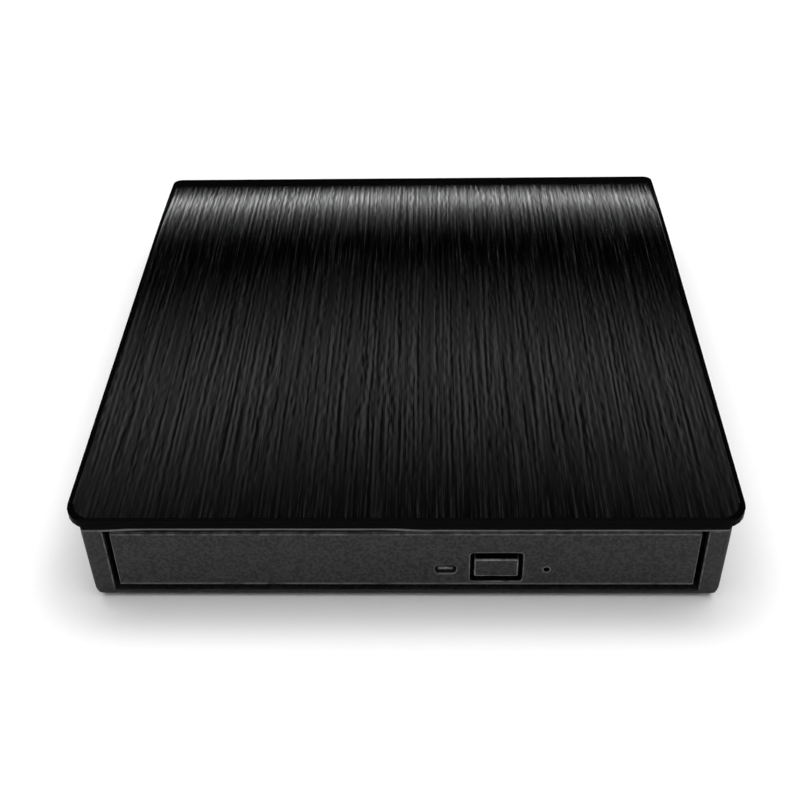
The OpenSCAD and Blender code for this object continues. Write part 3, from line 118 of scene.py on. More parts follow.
def grey(tone):
    return (tone, tone, tone) if isinstance(tone, (int, float)) else tone


def tint(tone):
    """The faintly blue grey of steel."""
    return (tone * 0.97, tone, tone * 1.05)


def ramp_node(tree, factor, stops):
    node = tree.nodes.new("ShaderNodeValToRGB")
    ramp = node.color_ramp
    while len(ramp.elements) < len(stops):
        ramp.elements.new(1.0)
    for element, (place, tone) in zip(ramp.elements, stops):
        element.position = place
        element.color = (*grey(tone), 1)
    link(tree, factor, node.inputs[0])
    return node.outputs[0]


def range_node(tree, value, low, high):
    """Rises smoothly from 0 where a value is low to 1 where it is high."""
    node = tree.nodes.new("ShaderNodeMapRange")
    node.interpolation_type = "SMOOTHSTEP"
    node.inputs["From Min"].default_value = low
    node.inputs["From Max"].default_value = high
    link(tree, value, node.inputs["Value"])
    return node.outputs[0]


def mix_node(tree, factor, first, second):
    node = tree.nodes.new("ShaderNodeMix")
    node.data_type = "RGBA"
    link(tree, factor, node.inputs["Factor"])
    for label, tone in (("A", first), ("B", second)):
        if isinstance(tone, bpy.types.NodeSocket):
            link(tree, tone, node.inputs[label])
        else:
            node.inputs[label].default_value = (*grey(tone), 1)
    return node.outputs["Result"]


def noise_node(tree, vector, scale, detail=2.0, roughness=0.5):
    node = tree.nodes.new("ShaderNodeTexNoise")
    node.inputs["Detail"].default_value = detail
    node.inputs["Roughness"].default_value = roughness
    link(tree, vector, node.inputs["Vector"])
    if isinstance(scale, (int, float)):
        node.inputs["Scale"].default_value = scale
    else:
        link(tree, scale, node.inputs["Scale"])
    return node.outputs["Fac"]


def object_place(tree):
    return tree.nodes.new("ShaderNodeTexCoord").outputs["Object"]


def parts_of(tree, vector):
    node = tree.nodes.new("ShaderNodeSeparateXYZ")
    link(tree, vector, node.inputs[0])
    return node.outputs


# Studio: a pale floor that curves up at its edge, under a soft sky of light.
# Brightness of the sky by height over the horizon in degrees: the ring of light overhead, the dim room
# round the drive, and the room behind it, whose bright band the lid mirrors at its rolled rear end
OVERHEAD = [(0, 0), (48, 0), (58, 1), (69, 1), (75, 0.12), (90, 0.05)]
ROOM = [(0, 0.1), (44, 0.1), (50, 0)]
REAR_ROOM = [(0, 0.008), (20, 0.008), (24, 0.012), (24.8, 0.9), (25.4, 0.87), (26.3, 0.32), (27, 0.145),
             (28.1, 0.054), (29.2, 0.018), (30.3, 0.004), (31.5, 0.001), (32.4, 0.001), (33.3, 0.016),
             (35.2, 0.055), (37, 0.085), (38.9, 0.073), (41.2, 0.043), (43.1, 0.016), (45, 0.004), (50, 0)]
ROOM_STRENGTH = 2.8
# How much of a direction points to the rear where the rear room begins, and where it has taken over
REAR_BEGINS, REAR_FULL = 0.45, 0.85
# The overhead light leans to the right and to the rear, so that the soft shadow falls to the front
# and the left
OVERHEAD_LEVEL, OVERHEAD_LEAN = 3.55, (0.75, 2.13)


def light_the_studio():
    world = bpy.data.worlds.new("soft_sky")
    scene.world = world
    world.use_nodes = True
    tree = world.node_tree
    tree.nodes.clear()
    x, y, z = parts_of(tree, tree.nodes.new("ShaderNodeTexCoord").outputs["Generated"])
    height = value_node(tree, "DIVIDE", value_node(tree, "ARCSINE", z), math.pi / 2)
    overhead, room, rear = (ramp_node(tree, height, [(a / 90, tone) for a, tone in sky])
                            for sky in (OVERHEAD, ROOM, REAR_ROOM))
    level = length_node(tree, x, y)
    rightward, rearward = (value_node(tree, "DIVIDE", value, level) for value in (x, y))
    around = mix_node(tree, range_node(tree, rearward, REAR_BEGINS, REAR_FULL), room, rear)
    to_right, to_rear = OVERHEAD_LEAN
    lean = value_node(tree, "ADD", times(tree, rightward, to_right), times(tree, rearward, to_rear))
    leaning = times(tree, overhead, value_node(tree, "ADD", lean, OVERHEAD_LEVEL))
    sky = value_node(tree, "ADD", leaning, times(tree, around, ROOM_STRENGTH))
    glow = tree.nodes.new("ShaderNodeBackground")
    glow.inputs["Strength"].default_value = 1
    link(tree, sky, glow.inputs["Color"])
    out = tree.nodes.new("ShaderNodeOutputWorld")
    link(tree, glow.outputs[0], out.inputs["Surface"])


light_the_studio()


def new_object(name, bm):
    mesh = bpy.data.meshes.new(name)
    bm.to_mesh(mesh)
    bm.free()
    piece = bpy.data.objects.new(name, mesh)
    scene.collection.objects.link(piece)
    return piece


def smoothed(piece, angle=35):
    piece.data.polygons.foreach_set("use_smooth", [True] * len(piece.data.polygons))
    piece.data.set_sharp_from_angle(angle=math.radians(angle))
    return piece


def lathe(bm, profile, sides, centre=(0, 0)):
    """Turns a list of (radius, height) about a vertical axis; a radius of 0 is a point on it."""
    rings = []
    for r, z in profile:
        spots = 1 if r == 0 else sides
        turns = [FULL_TURN * i / sides for i in range(spots)]
        rings.append([bm.verts.new((centre[0] + r * math.cos(a), centre[1] + r * math.sin(a), z))
                      for a in turns])
    for low, high in zip(rings, rings[1:]):
        for i in range(sides):
            n = (i + 1) % sides
            corners = [low[i % len(low)], low[n % len(low)], high[n % len(high)], high[i % len(high)]]
            bm.faces.new([v for k, v in enumerate(corners) if v not in corners[:k]])


def lay_floor():
    rim_in, rim_rise, steps, sides = 1.5, 0.45, 10, 96
    fibres_per_metre = 900
    profile = [(0, 0), (0.2, 0), (0.6, 0), (rim_in, 0)]
    for i in range(1, steps + 1):
        a = math.pi / 2 * i / steps
        profile.append((rim_in + rim_rise * math.sin(a), rim_rise * (1 - math.cos(a))))
    bm = bmesh.new()
    lathe(bm, profile, sides)
    bmesh.ops.reverse_faces(bm, faces=bm.faces)
    floor = smoothed(new_object("studio_floor", bm))
    paper = bpy.data.materials.new("floor_paper")
    paper.use_nodes = True
    tree = paper.node_tree
    shader = tree.nodes["Principled BSDF"]
    fibre = noise_node(tree, object_place(tree), fibres_per_metre)
    link(tree, ramp_node(tree, fibre, [(0.3, 0.955), (0.7, 0.97)]), shader.inputs["Base Color"])
    shader.inputs["Roughness"].default_value = 0.9
    shader.inputs["Specular IOR Level"].default_value = 0.0
    floor.data.materials.append(paper)


lay_floor()


# Surface effects that several finishes share.
def shader_group(name, inputs, outputs):
    tree = bpy.data.node_groups.new(name, "ShaderNodeTree")
    for label, value in inputs:
        socket = tree.interface.new_socket(label, in_out="INPUT", socket_type="NodeSocketFloat")
        socket.default_value = value
    for label in outputs:
        tree.interface.new_socket(label, in_out="OUTPUT", socket_type="NodeSocketFloat")
    return tree, tree.nodes.new("NodeGroupInput"), tree.nodes.new("NodeGroupOutput")


def moulded_grain_group():
    """Fine spark-eroded grain of a moulding tool, and a slow drift of its tone."""
    tree, given, out = shader_group("moulded_grain", [("Grain per metre", 3000), ("Drift per metre", 60)],
                                    ["Height", "Speckle", "Drift"])
    place = object_place(tree)
    link(tree, noise_node(tree, place, given.outputs["Grain per metre"], 3.0, 0.65), out.inputs["Height"])
    half = times(tree, given.outputs["Grain per metre"], 0.5)
    link(tree, noise_node(tree, place, half, 1.0), out.inputs["Speckle"])
    link(tree, noise_node(tree, place, given.outputs["Drift per metre"]), out.inputs["Drift"])
    return tree


def brush_lines_group():
    """Long scratches along Y: fine ones among broad ones."""
    tree, given, out = shader_group("brush_lines", [("Across per metre", 3000), ("Along per metre", 70)],
                                    ["Fine", "Broad"])
    place = object_place(tree)
    across, along = given.outputs["Across per metre"], given.outputs["Along per metre"]
    for label, share in (("Fine", 1.0), ("Broad", 0.4)):
        stretch = tree.nodes.new("ShaderNodeCombineXYZ")
        for axis, per_metre in (("X", across), ("Y", along), ("Z", along)):
            link(tree, times(tree, per_metre, share), stretch.inputs[axis])
        scaled = tree.nodes.new("ShaderNodeVectorMath")
        scaled.operation = "MULTIPLY"
        link(tree, place, scaled.inputs[0])
        link(tree, stretch.outputs[0], scaled.inputs[1])
        link(tree, noise_node(tree, scaled.outputs[0], 1.0, 2.0, 0.6), out.inputs[label])
    return tree


GRAIN = moulded_grain_group()
BRUSH = brush_lines_group()


def placed(tree, group, **values):
    node = tree.nodes.new("ShaderNodeGroup")
    node.node_tree = group
    for label, value in values.items():
        node.inputs[label.replace("_", " ").capitalize()].default_value = value
    return node.outputs


def blank_finish(name, metallic=0.0, specular=0.5):
    finish = bpy.data.materials.new(name)
    finish.use_nodes = True
    tree = finish.node_tree
    shader = tree.nodes["Principled BSDF"]
    shader.inputs["Metallic"].default_value = metallic
    shader.inputs["Specular IOR Level"].default_value = specular
    return finish, tree, shader


def bump(tree, shader, height, depth):
    node = tree.nodes.new("ShaderNodeBump")
    node.inputs["Distance"].default_value = depth * MM
    link(tree, height, node.inputs["Height"])
    link(tree, node.outputs[0], shader.inputs["Normal"])


def colour(tree, shader, tone):
    link(tree, tone, shader.inputs["Base Color"])


def roughen(tree, shader, pattern, least, most):
    """Lets the roughness wander between two values with a pattern."""
    link(tree, ramp_node(tree, pattern, [(0.3, least), (0.7, most)]), shader.inputs["Roughness"])


def grained_finish(name, dark, light, rough, grain, depth, specular=0.5):
    """Moulded plastic or rubber: a speckled tone, a drifting gloss and a fine raised grain."""
    finish, tree, shader = blank_finish(name, 0.0, specular)
    grains = placed(tree, GRAIN, grain_per_metre=grain)
    colour(tree, shader, ramp_node(tree, grains["Speckle"], [(0.35, dark), (0.65, light)]))
    roughen(tree, shader, grains["Drift"], *rough)
    bump(tree, shader, grains["Height"], depth)
    return finish


def lined_metal(name, dark, light, rough, across, along, depth):
    """Rolled or drawn metal with faint lines along Y."""
    finish, tree, shader = blank_finish(name, 1.0)
    lines = placed(tree, BRUSH, across_per_metre=across, along_per_metre=along)
    mixed = value_node(tree, "ADD", times(tree, lines["Fine"], 0.6), times(tree, lines["Broad"], 0.4))
    colour(tree, shader, ramp_node(tree, mixed, [(0.36, dark), (0.64, light)]))
    roughen(tree, shader, lines["Broad"], *rough)
    bump(tree, shader, mixed, depth)
    return finish


def scratch_flanks(tree, across, along, flank):
    """Long scratches along Y as light from one side shows them: a painted lit flank beside a painted shaded
    one.
    """
    sides = []
    for shift in (0.0, flank):
        stretch = tree.nodes.new("ShaderNodeMapping")
        stretch.inputs["Location"].default_value = (shift * across, 0, 0)
        stretch.inputs["Scale"].default_value = (across, along, along)
        link(tree, object_place(tree), stretch.inputs["Vector"])
        sides.append(noise_node(tree, stretch.outputs[0], 1.0, 0.0))
    return value_node(tree, "SUBTRACT", *sides)


# Hairlines of the brushed lid: how many a metre across, how far a painted lit flank lies from its painted
# shaded one, and how many a metre along for the long and for the short ones
HAIRLINES, FLANK = 1950, 0.7 * MM
LONG_HAIRLINES, SHORT_HAIRLINES = 33, 250
LONG_SHARE, SHORT_SHARE = 0.88, 0.45
HAIRLINE_TONES = [(0.19, 0.05), (0.34, 0.21), (0.5, 0.43), (0.66, 0.71), (0.81, 1.0)]
# Some strokes of the brush pressed harder than others
LIGHT_STROKE, HARD_STROKE = 0.35, 1.5
# The hairlines grow fainter towards the front edge, and at the rear edge give way unevenly to a painted
# dark reflection
FAINT_BEGINS, FAINT_ENDS = -40 * MM, -72 * MM
DARK_REAR_BEGINS, DARK_REAR_ENDS, DARK_REAR_UNEVEN = 66.8 * MM, 69.8 * MM, 4 * MM
LID_GROUND, LID_BRIGHT = 0.004, (0.185, 0.186, 0.191)


def brushed_black(name):
    """Black anodised sheet brushed from front to rear: hairlines on a near-black ground."""
    finish, tree, shader = blank_finish(name, 1.0)
    long_lines, short_lines = (scratch_flanks(tree, HAIRLINES, along, FLANK)
                               for along in (LONG_HAIRLINES, SHORT_HAIRLINES))
    lines = value_node(tree, "ADD", times(tree, long_lines, LONG_SHARE),
                       times(tree, short_lines, SHORT_SHARE))
    strokes = placed(tree, BRUSH, across_per_metre=3000, along_per_metre=60)
    hard = range_node(tree, strokes["Broad"], 0.38, 0.62)
    pressed = value_node(tree, "ADD", times(tree, hard, HARD_STROKE - LIGHT_STROKE), LIGHT_STROKE)
    height = value_node(tree, "ADD", times(tree, lines, pressed), 0.5)
    # The hairline tones hold streaks of differing reflectance and the painted light and shade of each
    # scratch's flanks
    tones = ramp_node(tree, height, HAIRLINE_TONES)
    y = parts_of(tree, object_place(tree))["Y"]
    faint = times(tree, range_node(tree, y, FAINT_BEGINS, FAINT_ENDS), 0.5)
    hairlines = mix_node(tree, faint, tones, 0.45)
    uneven = value_node(tree, "ADD", y, times(tree, long_lines, -DARK_REAR_UNEVEN))
    # Painted dark reflection of the rolled rear edge: the tone falls to black, unevenly along the hairlines
    with_dark_rear = mix_node(tree, range_node(tree, uneven, DARK_REAR_BEGINS, DARK_REAR_ENDS), hairlines, 0.0)
    colour(tree, shader, mix_node(tree, with_dark_rear, LID_GROUND, LID_BRIGHT))
    link(tree, ramp_node(tree, strokes["Fine"], [(0.45, 0.05), (0.68, 0.14)]), shader.inputs["Roughness"])
    bump(tree, shader, height, 0.006)
    return finish


# The painted highlight line under the rim's front runs higher about one place on the left, as far as the
# first reach. Beyond the second reach it has dipped by a share of the band that it lies in
HIGH_LINE_X, HIGH_LINE_REACH, LINE_DIP = -30 * MM, (24 * MM, 36 * MM), 0.36
PAINTED_HIGHLIGHT_LINE = [(0.2, 0.01), (0.3, 0.09), (0.42, 0.16), (0.54, 0.12), (0.68, 0.008), (0.76, 0.003)]


def rim_finish(name, rim_low, rim_front, band):
    """Polished black lid rim with a painted highlight line along its lower front edge."""
    finish, tree, shader = blank_finish(name, 0.0, 0.006)
    x, y, z = parts_of(tree, object_place(tree))
    height = value_node(tree, "DIVIDE", value_node(tree, "SUBTRACT", z, rim_low), band * MM)
    away = value_node(tree, "ABSOLUTE", value_node(tree, "SUBTRACT", x, HIGH_LINE_X))
    dip = times(tree, range_node(tree, away, *HIGH_LINE_REACH), LINE_DIP)
    grains = placed(tree, GRAIN, grain_per_metre=2600, drift_per_metre=140)
    waver = times(tree, value_node(tree, "SUBTRACT", grains["Drift"], 0.5), 0.25)
    place = value_node(tree, "ADD", value_node(tree, "ADD", height, dip), waver)
    painted_highlight = ramp_node(tree, place, PAINTED_HIGHLIGHT_LINE)
    front = range_node(tree, y, rim_front + 1.2 * MM, rim_front + 0.9 * MM)
    # Near-black rim, with the painted highlight line along its lower front edge
    colour(tree, shader, mix_node(tree, front, 0.0016, painted_highlight))
    roughen(tree, shader, grains["Speckle"], 0.025, 0.045)
    bump(tree, shader, grains["Height"], 0.001)
    return finish


def steel_with_shaded_lip(name, lip_y):
    """Galvanised sheet whose front lip is coloured near-black as painted shade, so that the gaps round the
    bezel stay dark.
    """
    finish, tree, shader = blank_finish(name, 1.0)
    y = parts_of(tree, object_place(tree))["Y"]
    lines = placed(tree, BRUSH, across_per_metre=1500, along_per_metre=200)
    metal = ramp_node(tree, lines["Fine"], [(0.36, tint(0.3)), (0.64, tint(0.4))])
    unshaded = range_node(tree, y, lip_y * MM, (lip_y + 1.5) * MM)
    # Near-black up to the lip's edge: painted shade seen through the gaps round the bezel
    colour(tree, shader, mix_node(tree, unshaded, 0.004, metal))
    roughen(tree, shader, lines["Broad"], 0.5, 0.62)
    bump(tree, shader, lines["Fine"], 0.003)
    return finish


def board_finish(name):
    """Green solder mask over copper tracks."""
    finish, tree, shader = blank_finish(name)
    cells = tree.nodes.new("ShaderNodeTexBrick")
    cells.inputs["Scale"].default_value = 260
    cells.inputs["Mortar Size"].default_value = 0.03
    cells.inputs["Color1"].default_value = (0.012, 0.085, 0.04, 1)
    cells.inputs["Color2"].default_value = (0.016, 0.105, 0.05, 1)
    cells.inputs["Mortar"].default_value = (0.03, 0.17, 0.08, 1)
    link(tree, object_place(tree), cells.inputs["Vector"])
    colour(tree, shader, cells.outputs["Color"])
    grains = placed(tree, GRAIN, grain_per_metre=900, drift_per_metre=120)
    roughen(tree, shader, grains["Drift"], 0.25, 0.4)
    bump(tree, shader, cells.outputs["Fac"], 0.03)
    return finish


def striped_finish(name, low, high, pitch, rough, metallic, axis):
    """Conductors of a flat cable or turns of a winding, side by side."""
    finish, tree, shader = blank_finish(name, metallic)
    wave = tree.nodes.new("ShaderNodeTexWave")
    wave.bands_direction = axis
    wave.inputs["Scale"].default_value = FULL_TURN / 20 / (pitch * MM)
    wave.inputs["Distortion"].default_value = 0.1
    link(tree, object_place(tree), wave.inputs["Vector"])
    colour(tree, shader, ramp_node(tree, wave.outputs["Fac"], [(0.25, low), (0.6, high)]))
    grains = placed(tree, GRAIN, grain_per_metre=2000, drift_per_metre=80)
    roughen(tree, shader, grains["Drift"], rough, rough + 0.12)
    bump(tree, shader, wave.outputs["Fac"], 0.04)
    return finish


def lens_finish(name):
    """Coated lens glass."""
    finish, tree, shader = blank_finish(name)
    shader.inputs["Transmission Weight"].default_value = 0.6
    shader.inputs["Coat Weight"].default_value = 1.0
    grains = placed(tree, GRAIN, grain_per_metre=1500, drift_per_metre=400)
    coating = [(0.3, (0.4, 0.46, 0.72)), (0.7, (0.5, 0.56, 0.8))]
    colour(tree, shader, ramp_node(tree, grains["Drift"], coating))
    roughen(tree, shader, grains["Speckle"], 0.02, 0.05)
    return finish


def bezel_finish(name, node, button, light, hole, hole_r):
    """Moulded front with painted highlights along its lower edge, its ends and round its openings."""
    finish, tree, shader = blank_finish(name, 0.0, 0.25)
    grains = placed(tree, GRAIN, grain_per_metre=2800, drift_per_metre=300)
    plain = ramp_node(tree, grains["Speckle"], [(0.38, 0.004), (0.62, 0.022)])
    x, _, z = parts_of(tree, object_place(tree))
    low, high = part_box(node)
    ends = value_node(tree, "SUBTRACT", high[0], value_node(tree, "ABSOLUTE", x))
    under = value_node(tree, "SUBTRACT", z, low[2])

    def outside(middle, half, corner):
        """Distance from the edge of an opening with rounded corners."""
        past = []
        for value, centre, reach in zip((x, z), middle, half):
            away = value_node(tree, "ABSOLUTE", value_node(tree, "SUBTRACT", value, centre))
            beyond = value_node(tree, "SUBTRACT", away, reach - corner)
            past.append(value_node(tree, "MAXIMUM", beyond, 0.0))
        return value_node(tree, "SUBTRACT", length_node(tree, *past), corner)

    def around(filler, lip, corner):
        """Distance from an opening whose edge lies a lip's width inside the box of what fills it."""
        low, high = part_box(filler)
        return outside([(low[axis] + high[axis]) / 2 for axis in (0, 2)],
                       [(high[axis] - low[axis]) / 2 - lip * MM for axis in (0, 2)], corner * MM)

    # Distance from each edge with a painted highlight, how far the highlight reaches, and how strong it is
    edges = [(ends, 0.3, 0.9), (under, 1.0, 0.5), (around(button, 0.4, 0.8), 0.35, 1.0),
             (around(light, 0.0, 0.9), 0.4, 0.5), (outside(hole, (hole_r, hole_r), hole_r), 0.4, 0.6)]
    painted_highlight, fade = None, 0.2
    for away, reach, share in edges:
        near = times(tree, range_node(tree, away, reach * MM, (reach - fade) * MM), share)
        painted_highlight = near if painted_highlight is None else value_node(tree, "MAXIMUM", painted_highlight, near)
    patchy = times(tree, painted_highlight, range_node(tree, grains["Drift"], 0.2, 0.5))
    # The paler tone near these edges is a painted highlight, patchy with the drift of the grain
    colour(tree, shader, mix_node(tree, patchy, plain, 0.14))
    roughen(tree, shader, grains["Drift"], 0.45, 0.55)
    bump(tree, shader, grains["Height"], 0.02)
    return finish


def window_finish(name, node, offset, half):
    """Smoked plastic of the light window, with a pale core painted in as a highlight."""
    finish, tree, shader = blank_finish(name, 0.0, 0.03)
    x, _, z = parts_of(tree, object_place(tree))
    low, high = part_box(node)
    inside, fade = None, 0.15
    for value, axis, shift, reach in ((x, 0, offset[0], half[0]), (z, 2, offset[1], half[1])):
        middle = (low[axis] + high[axis]) / 2 + shift * MM
        away = value_node(tree, "ABSOLUTE", value_node(tree, "SUBTRACT", value, middle))
        near = range_node(tree, away, (reach + fade) * MM, (reach - fade) * MM)
        inside = near if inside is None else times(tree, inside, near)
    grains = placed(tree, GRAIN, grain_per_metre=2500, drift_per_metre=900)
    core = ramp_node(tree, grains["Drift"], [(0.35, 0.04), (0.65, 0.17)])
    # The pale core is a painted highlight on the dark window
    colour(tree, shader, mix_node(tree, inside, 0.003, core))
    roughen(tree, shader, grains["Speckle"], 0.3, 0.4)
    return finish


def edge_highlight_finish(name, dark, light, floor_z):
    """Edge bevels painted paler as painted highlights, and near-black at the sill and below it as painted
    shade.
    """
    finish, tree, shader = blank_finish(name, 0.0, 0.25)
    grains = placed(tree, GRAIN, grain_per_metre=1200, drift_per_metre=200)
    highlight_tone = ramp_node(tree, grains["Speckle"], [(0.35, dark), (0.65, light)])
    z = parts_of(tree, object_place(tree))["Z"]
    above = range_node(tree, z, floor_z + 1.3 * MM, floor_z + 2.4 * MM)
    # Paler bevels are painted highlights; near-black ones low down are painted shade
    colour(tree, shader, mix_node(tree, above, 0.006, highlight_tone))
    roughen(tree, shader, grains["Drift"], 0.35, 0.45)
    bump(tree, shader, grains["Height"], 0.004)
    return finish


BASE_LOW, RIM_LOW = (corner[2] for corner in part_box("base_shell"))
PIN_HOLE_R = 0.7 * MM
PIN_HOLE_AT = (30.8 * MM, sum(corner[2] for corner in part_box("light_pipe")) / 2)
# Grained finishes: dark and light tone, least and most roughness, grains per metre, their depth in
# millimetres and the specular level. Lined metals: the same, but lines per metre across and along
FINISH = {
    "case_plastic": grained_finish("case_plastic", 0.005, 0.02, (0.45, 0.55), 2800, 0.015, 0.25),
    "bezel_plastic": bezel_finish("bezel_plastic", "tray_bezel", "eject_button", "light_pipe",
                                  PIN_HOLE_AT, PIN_HOLE_R),
    "button_plastic": grained_finish("button_plastic", 0.005, 0.024, (0.45, 0.55), 2800, 0.02, 0.25),
    "slot_shade": grained_finish("slot_shade", 0.0015, 0.003, (0.8, 0.9), 2000, 0.01, 0.05),
    # Bevel finishes with painted highlights on the edges, and painted shade at the sill
    "edge_highlight": edge_highlight_finish("edge_highlight", 0.03, 0.11, BASE_LOW),
    "button_edge_highlight": edge_highlight_finish("button_edge_highlight", 0.1, 0.24, BASE_LOW),
    "lid_plastic": rim_finish("lid_plastic", RIM_LOW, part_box("lid_shell")[0][1], 1.8),
    "brushed_panel": brushed_black("brushed_panel"),
    "rubber": grained_finish("rubber", 0.012, 0.022, (0.75, 0.9), 2000, 0.02, 0.25),
    # Steel of the pan and cover, with painted shade on its front lip
    "steel_with_shaded_lip": steel_with_shaded_lip("steel_with_shaded_lip", -66.0),
    "sheet_steel": lined_metal("sheet_steel", tint(0.3), tint(0.4), (0.5, 0.62), 1500, 200, 0.003),
    "bright_steel": lined_metal("bright_steel", tint(0.42), tint(0.55), (0.3, 0.42), 2500, 900, 0.002),
    "sled_metal": grained_finish("sled_metal", tint(0.3), tint(0.4), (0.4, 0.55), 2200, 0.012),
    "tray_plastic": grained_finish("tray_plastic", 0.012, 0.022, (0.45, 0.58), 2600, 0.014, 0.4),
    "chip_plastic": grained_finish("chip_plastic", 0.012, 0.025, (0.5, 0.65), 4000, 0.006, 0.35),
    "gold_contact": lined_metal("gold_contact", (0.7, 0.48, 0.16), (0.85, 0.62, 0.26), (0.18, 0.3),
                                3000, 900, 0.001),
    "board": board_finish("board"),
    "flex": striped_finish("flex", (0.5, 0.44, 0.33), (0.75, 0.7, 0.58), 0.8, 0.4, 0.0, "X"),
    "coil": striped_finish("coil", (0.2, 0.07, 0.03), (0.6, 0.26, 0.12), 0.25, 0.3, 1.0, "Y"),
    "lens_glass": lens_finish("lens_glass"),
    "light_plastic": window_finish("light_plastic", "light_pipe", (-0.1, 0.3), (1.55, 0.38)),
}


# Which finish each node has.
NODE_FINISH = {
    "case_plastic": ["base_shell"],
    "lid_plastic": ["lid_shell"],
    "bezel_plastic": ["tray_bezel"],
    "button_plastic": ["eject_button"],
    "brushed_panel": ["lid_panel"],
    "rubber": ["rubber_feet", "dampers", "turntable_pad"],
    "steel_with_shaded_lip": ["drive_pan", "drive_cover"],
    "sheet_steel": ["tray_plate", "traverse_frame", "deck_cover", "spindle_base", "feed_motor",
                    "spindle_rotor"],
    "bright_steel": ["case_screws", "drive_screws", "cover_screws", "rail_left", "rail_right",
                     "tray_screws", "damper_screws", "clamp_balls", "guide_rods", "lead_screw",
                     "latch_lever", "latch_post", "eject_spring", "bridge_screws", "usb_receptacle"],
    "sled_metal": ["pickup_sled"],
    "tray_plastic": ["disc_tray", "rail_guide_left", "rail_guide_right", "eject_plunger"],
    "board": ["main_board", "connector_board", "bridge_board"],
    "chip_plastic": ["board_chips", "eject_switch", "flex_socket", "lens_magnets", "lens_holder",
                     "drive_socket", "bridge_chips", "bridge_plug"],
    "light_plastic": ["light_pipe"],
    "lens_glass": ["objective_lens"],
    "flex": ["flex_cable"],
    "coil": ["latch_solenoid"],
}
FINISH_OF = {node: finish for finish, nodes in NODE_FINISH.items() for node in nodes}
for node, finish in FINISH_OF.items():
    mesh = frame["nodes"][node].data
    mesh.materials.clear()
    mesh.materials.append(FINISH[finish])


# Pieces that stand for nodes.
def dress(piece, finish, body, more=()):
    if not piece.data.materials:
        for name in (finish, *more):
            piece.data.materials.append(FINISH[name])
    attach(piece, body)
    return piece


def stands_for(piece, node, more=()):
    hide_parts(node)
    return dress(piece, FINISH_OF[node], BODY_OF[node], more)


# Angles past which an edge is sharp and below which two faces are one, and the distance that merges corners
SHARP, FLAT, MERGED = math.radians(30), math.radians(0.05), 0.0005 * MM
# How many times its rounding's width each face beside an edge has to reach
ROOM_TO_ROUND = 2.2


def has_room(edge, ease):
    """Whether an edge is an outer one with room for its rounding on both its faces."""
    if len(edge.link_faces) != 2 or not edge.is_convex or edge.calc_face_angle() < SHARP:
        return False
    start, along = edge.verts[0].co, (edge.verts[1].co - edge.verts[0].co).normalized()
    reaches = [max((v.co - start).cross(along).length for v in face.verts) for face in edge.link_faces]
    return min(reaches) > ROOM_TO_ROUND * ease


def at_pin_hole(x, z):
    return math.hypot(x - PIN_HOLE_AT[0], z - PIN_HOLE_AT[1]) < 1.1 * PIN_HOLE_R


# Corner radius of the light's window in the bezel, and of the light pipe that fills it
WINDOW_CORNER = {"tray_bezel": 0.9, "light_pipe": 0.85}


def round_the_window(bm, radius):
    low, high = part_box("light_pipe")
    slack = 0.2 * MM

    def in_window(v):
        return all(low[axis] - slack < v.co[axis] < high[axis] + slack for axis in (0, 2))

    corners = [edge for edge in bm.edges if all(in_window(v) for v in edge.verts)
               and abs(edge.verts[0].co.y - edge.verts[1].co.y) > slack]
    bmesh.ops.bevel(bm, geom=corners, offset=radius * MM, segments=5, profile=0.5, affect="EDGES")


# Height of the sill under the tray's front, and how far it falls away towards the front
SILL_Z, SILL_FALL = 2.7, 0.55


def slope_the_sill(bm):
    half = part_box("tray_bezel")[1][0] + 2 * MM
    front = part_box("base_shell")[0][1] + 1 * MM
    slack = 0.01 * MM
    for v in bm.verts:
        if abs(v.co.x) < half and v.co.y < front and abs(v.co.z - SILL_Z * MM) < slack:
            v.co.z -= SILL_FALL * MM


def eased_copy(node, ease, edge=None):
    """A node's own shape with its sharp edges rounded, as a moulding or a pressing has them."""
    bm = bmesh.new()
    bm.from_mesh(frame["nodes"][node].data)
    bmesh.ops.remove_doubles(bm, verts=bm.verts, dist=MERGED)
    bmesh.ops.dissolve_limit(bm, angle_limit=FLAT, verts=bm.verts, edges=bm.edges)
    if node in WINDOW_CORNER:
        round_the_window(bm, WINDOW_CORNER[node])
    if node == "base_shell":
        slope_the_sill(bm)
    for face in bm.faces:
        face.smooth = True
    weight = bm.edges.layers.float.new("bevel_weight_edge")
    for sharp in bm.edges:
        x, _, z = (sharp.verts[0].co + sharp.verts[1].co) / 2
        sharp[weight] = 1.0 if has_room(sharp, ease * MM) and not at_pin_hole(x, z) else 0.0
    piece = new_object(node + "_eased", bm)
    if "custom_normal" in piece.data.attributes:
        piece.data.attributes.remove(piece.data.attributes["custom_normal"])
    piece.data.set_sharp_from_angle(angle=SHARP)
    rounding = piece.modifiers.new("rounding", "BEVEL")
    rounding.width = ease * MM
    rounding.segments = 2
    rounding.limit_method = "WEIGHT"
    rounding.use_clamp_overlap = False
    rounding.harden_normals = True
    if edge:
        rounding.material = 1
    return stands_for(piece, node, [edge] if edge else [])


# Width of the rounding on each node's edges, with the finish of the rounding where it carries a painted
# highlight
EASE = {"lid_shell": 0.15, "light_pipe": 0.25, "disc_tray": 0.2, "drive_pan": 0.12, "drive_cover": 0.12,
        "rail_left": 0.15, "rail_right": 0.15, "rail_guide_left": 0.15, "rail_guide_right": 0.15,
        "deck_cover": 0.1, "spindle_rotor": 0.15, "turntable_pad": 0.08, "pickup_sled": 0.15,
        "lens_holder": 0.15, "tray_plate": 0.08}
HIGHLIGHTED_EASE = {"base_shell": (0.25, "edge_highlight"), "tray_bezel": (0.2, "edge_highlight"),
               "eject_button": (0.32, "button_edge_highlight")}
for node, ease in EASE.items():
    eased_copy(node, ease)
fronts = {node: eased_copy(node, ease, edge) for node, (ease, edge) in HIGHLIGHTED_EASE.items()}


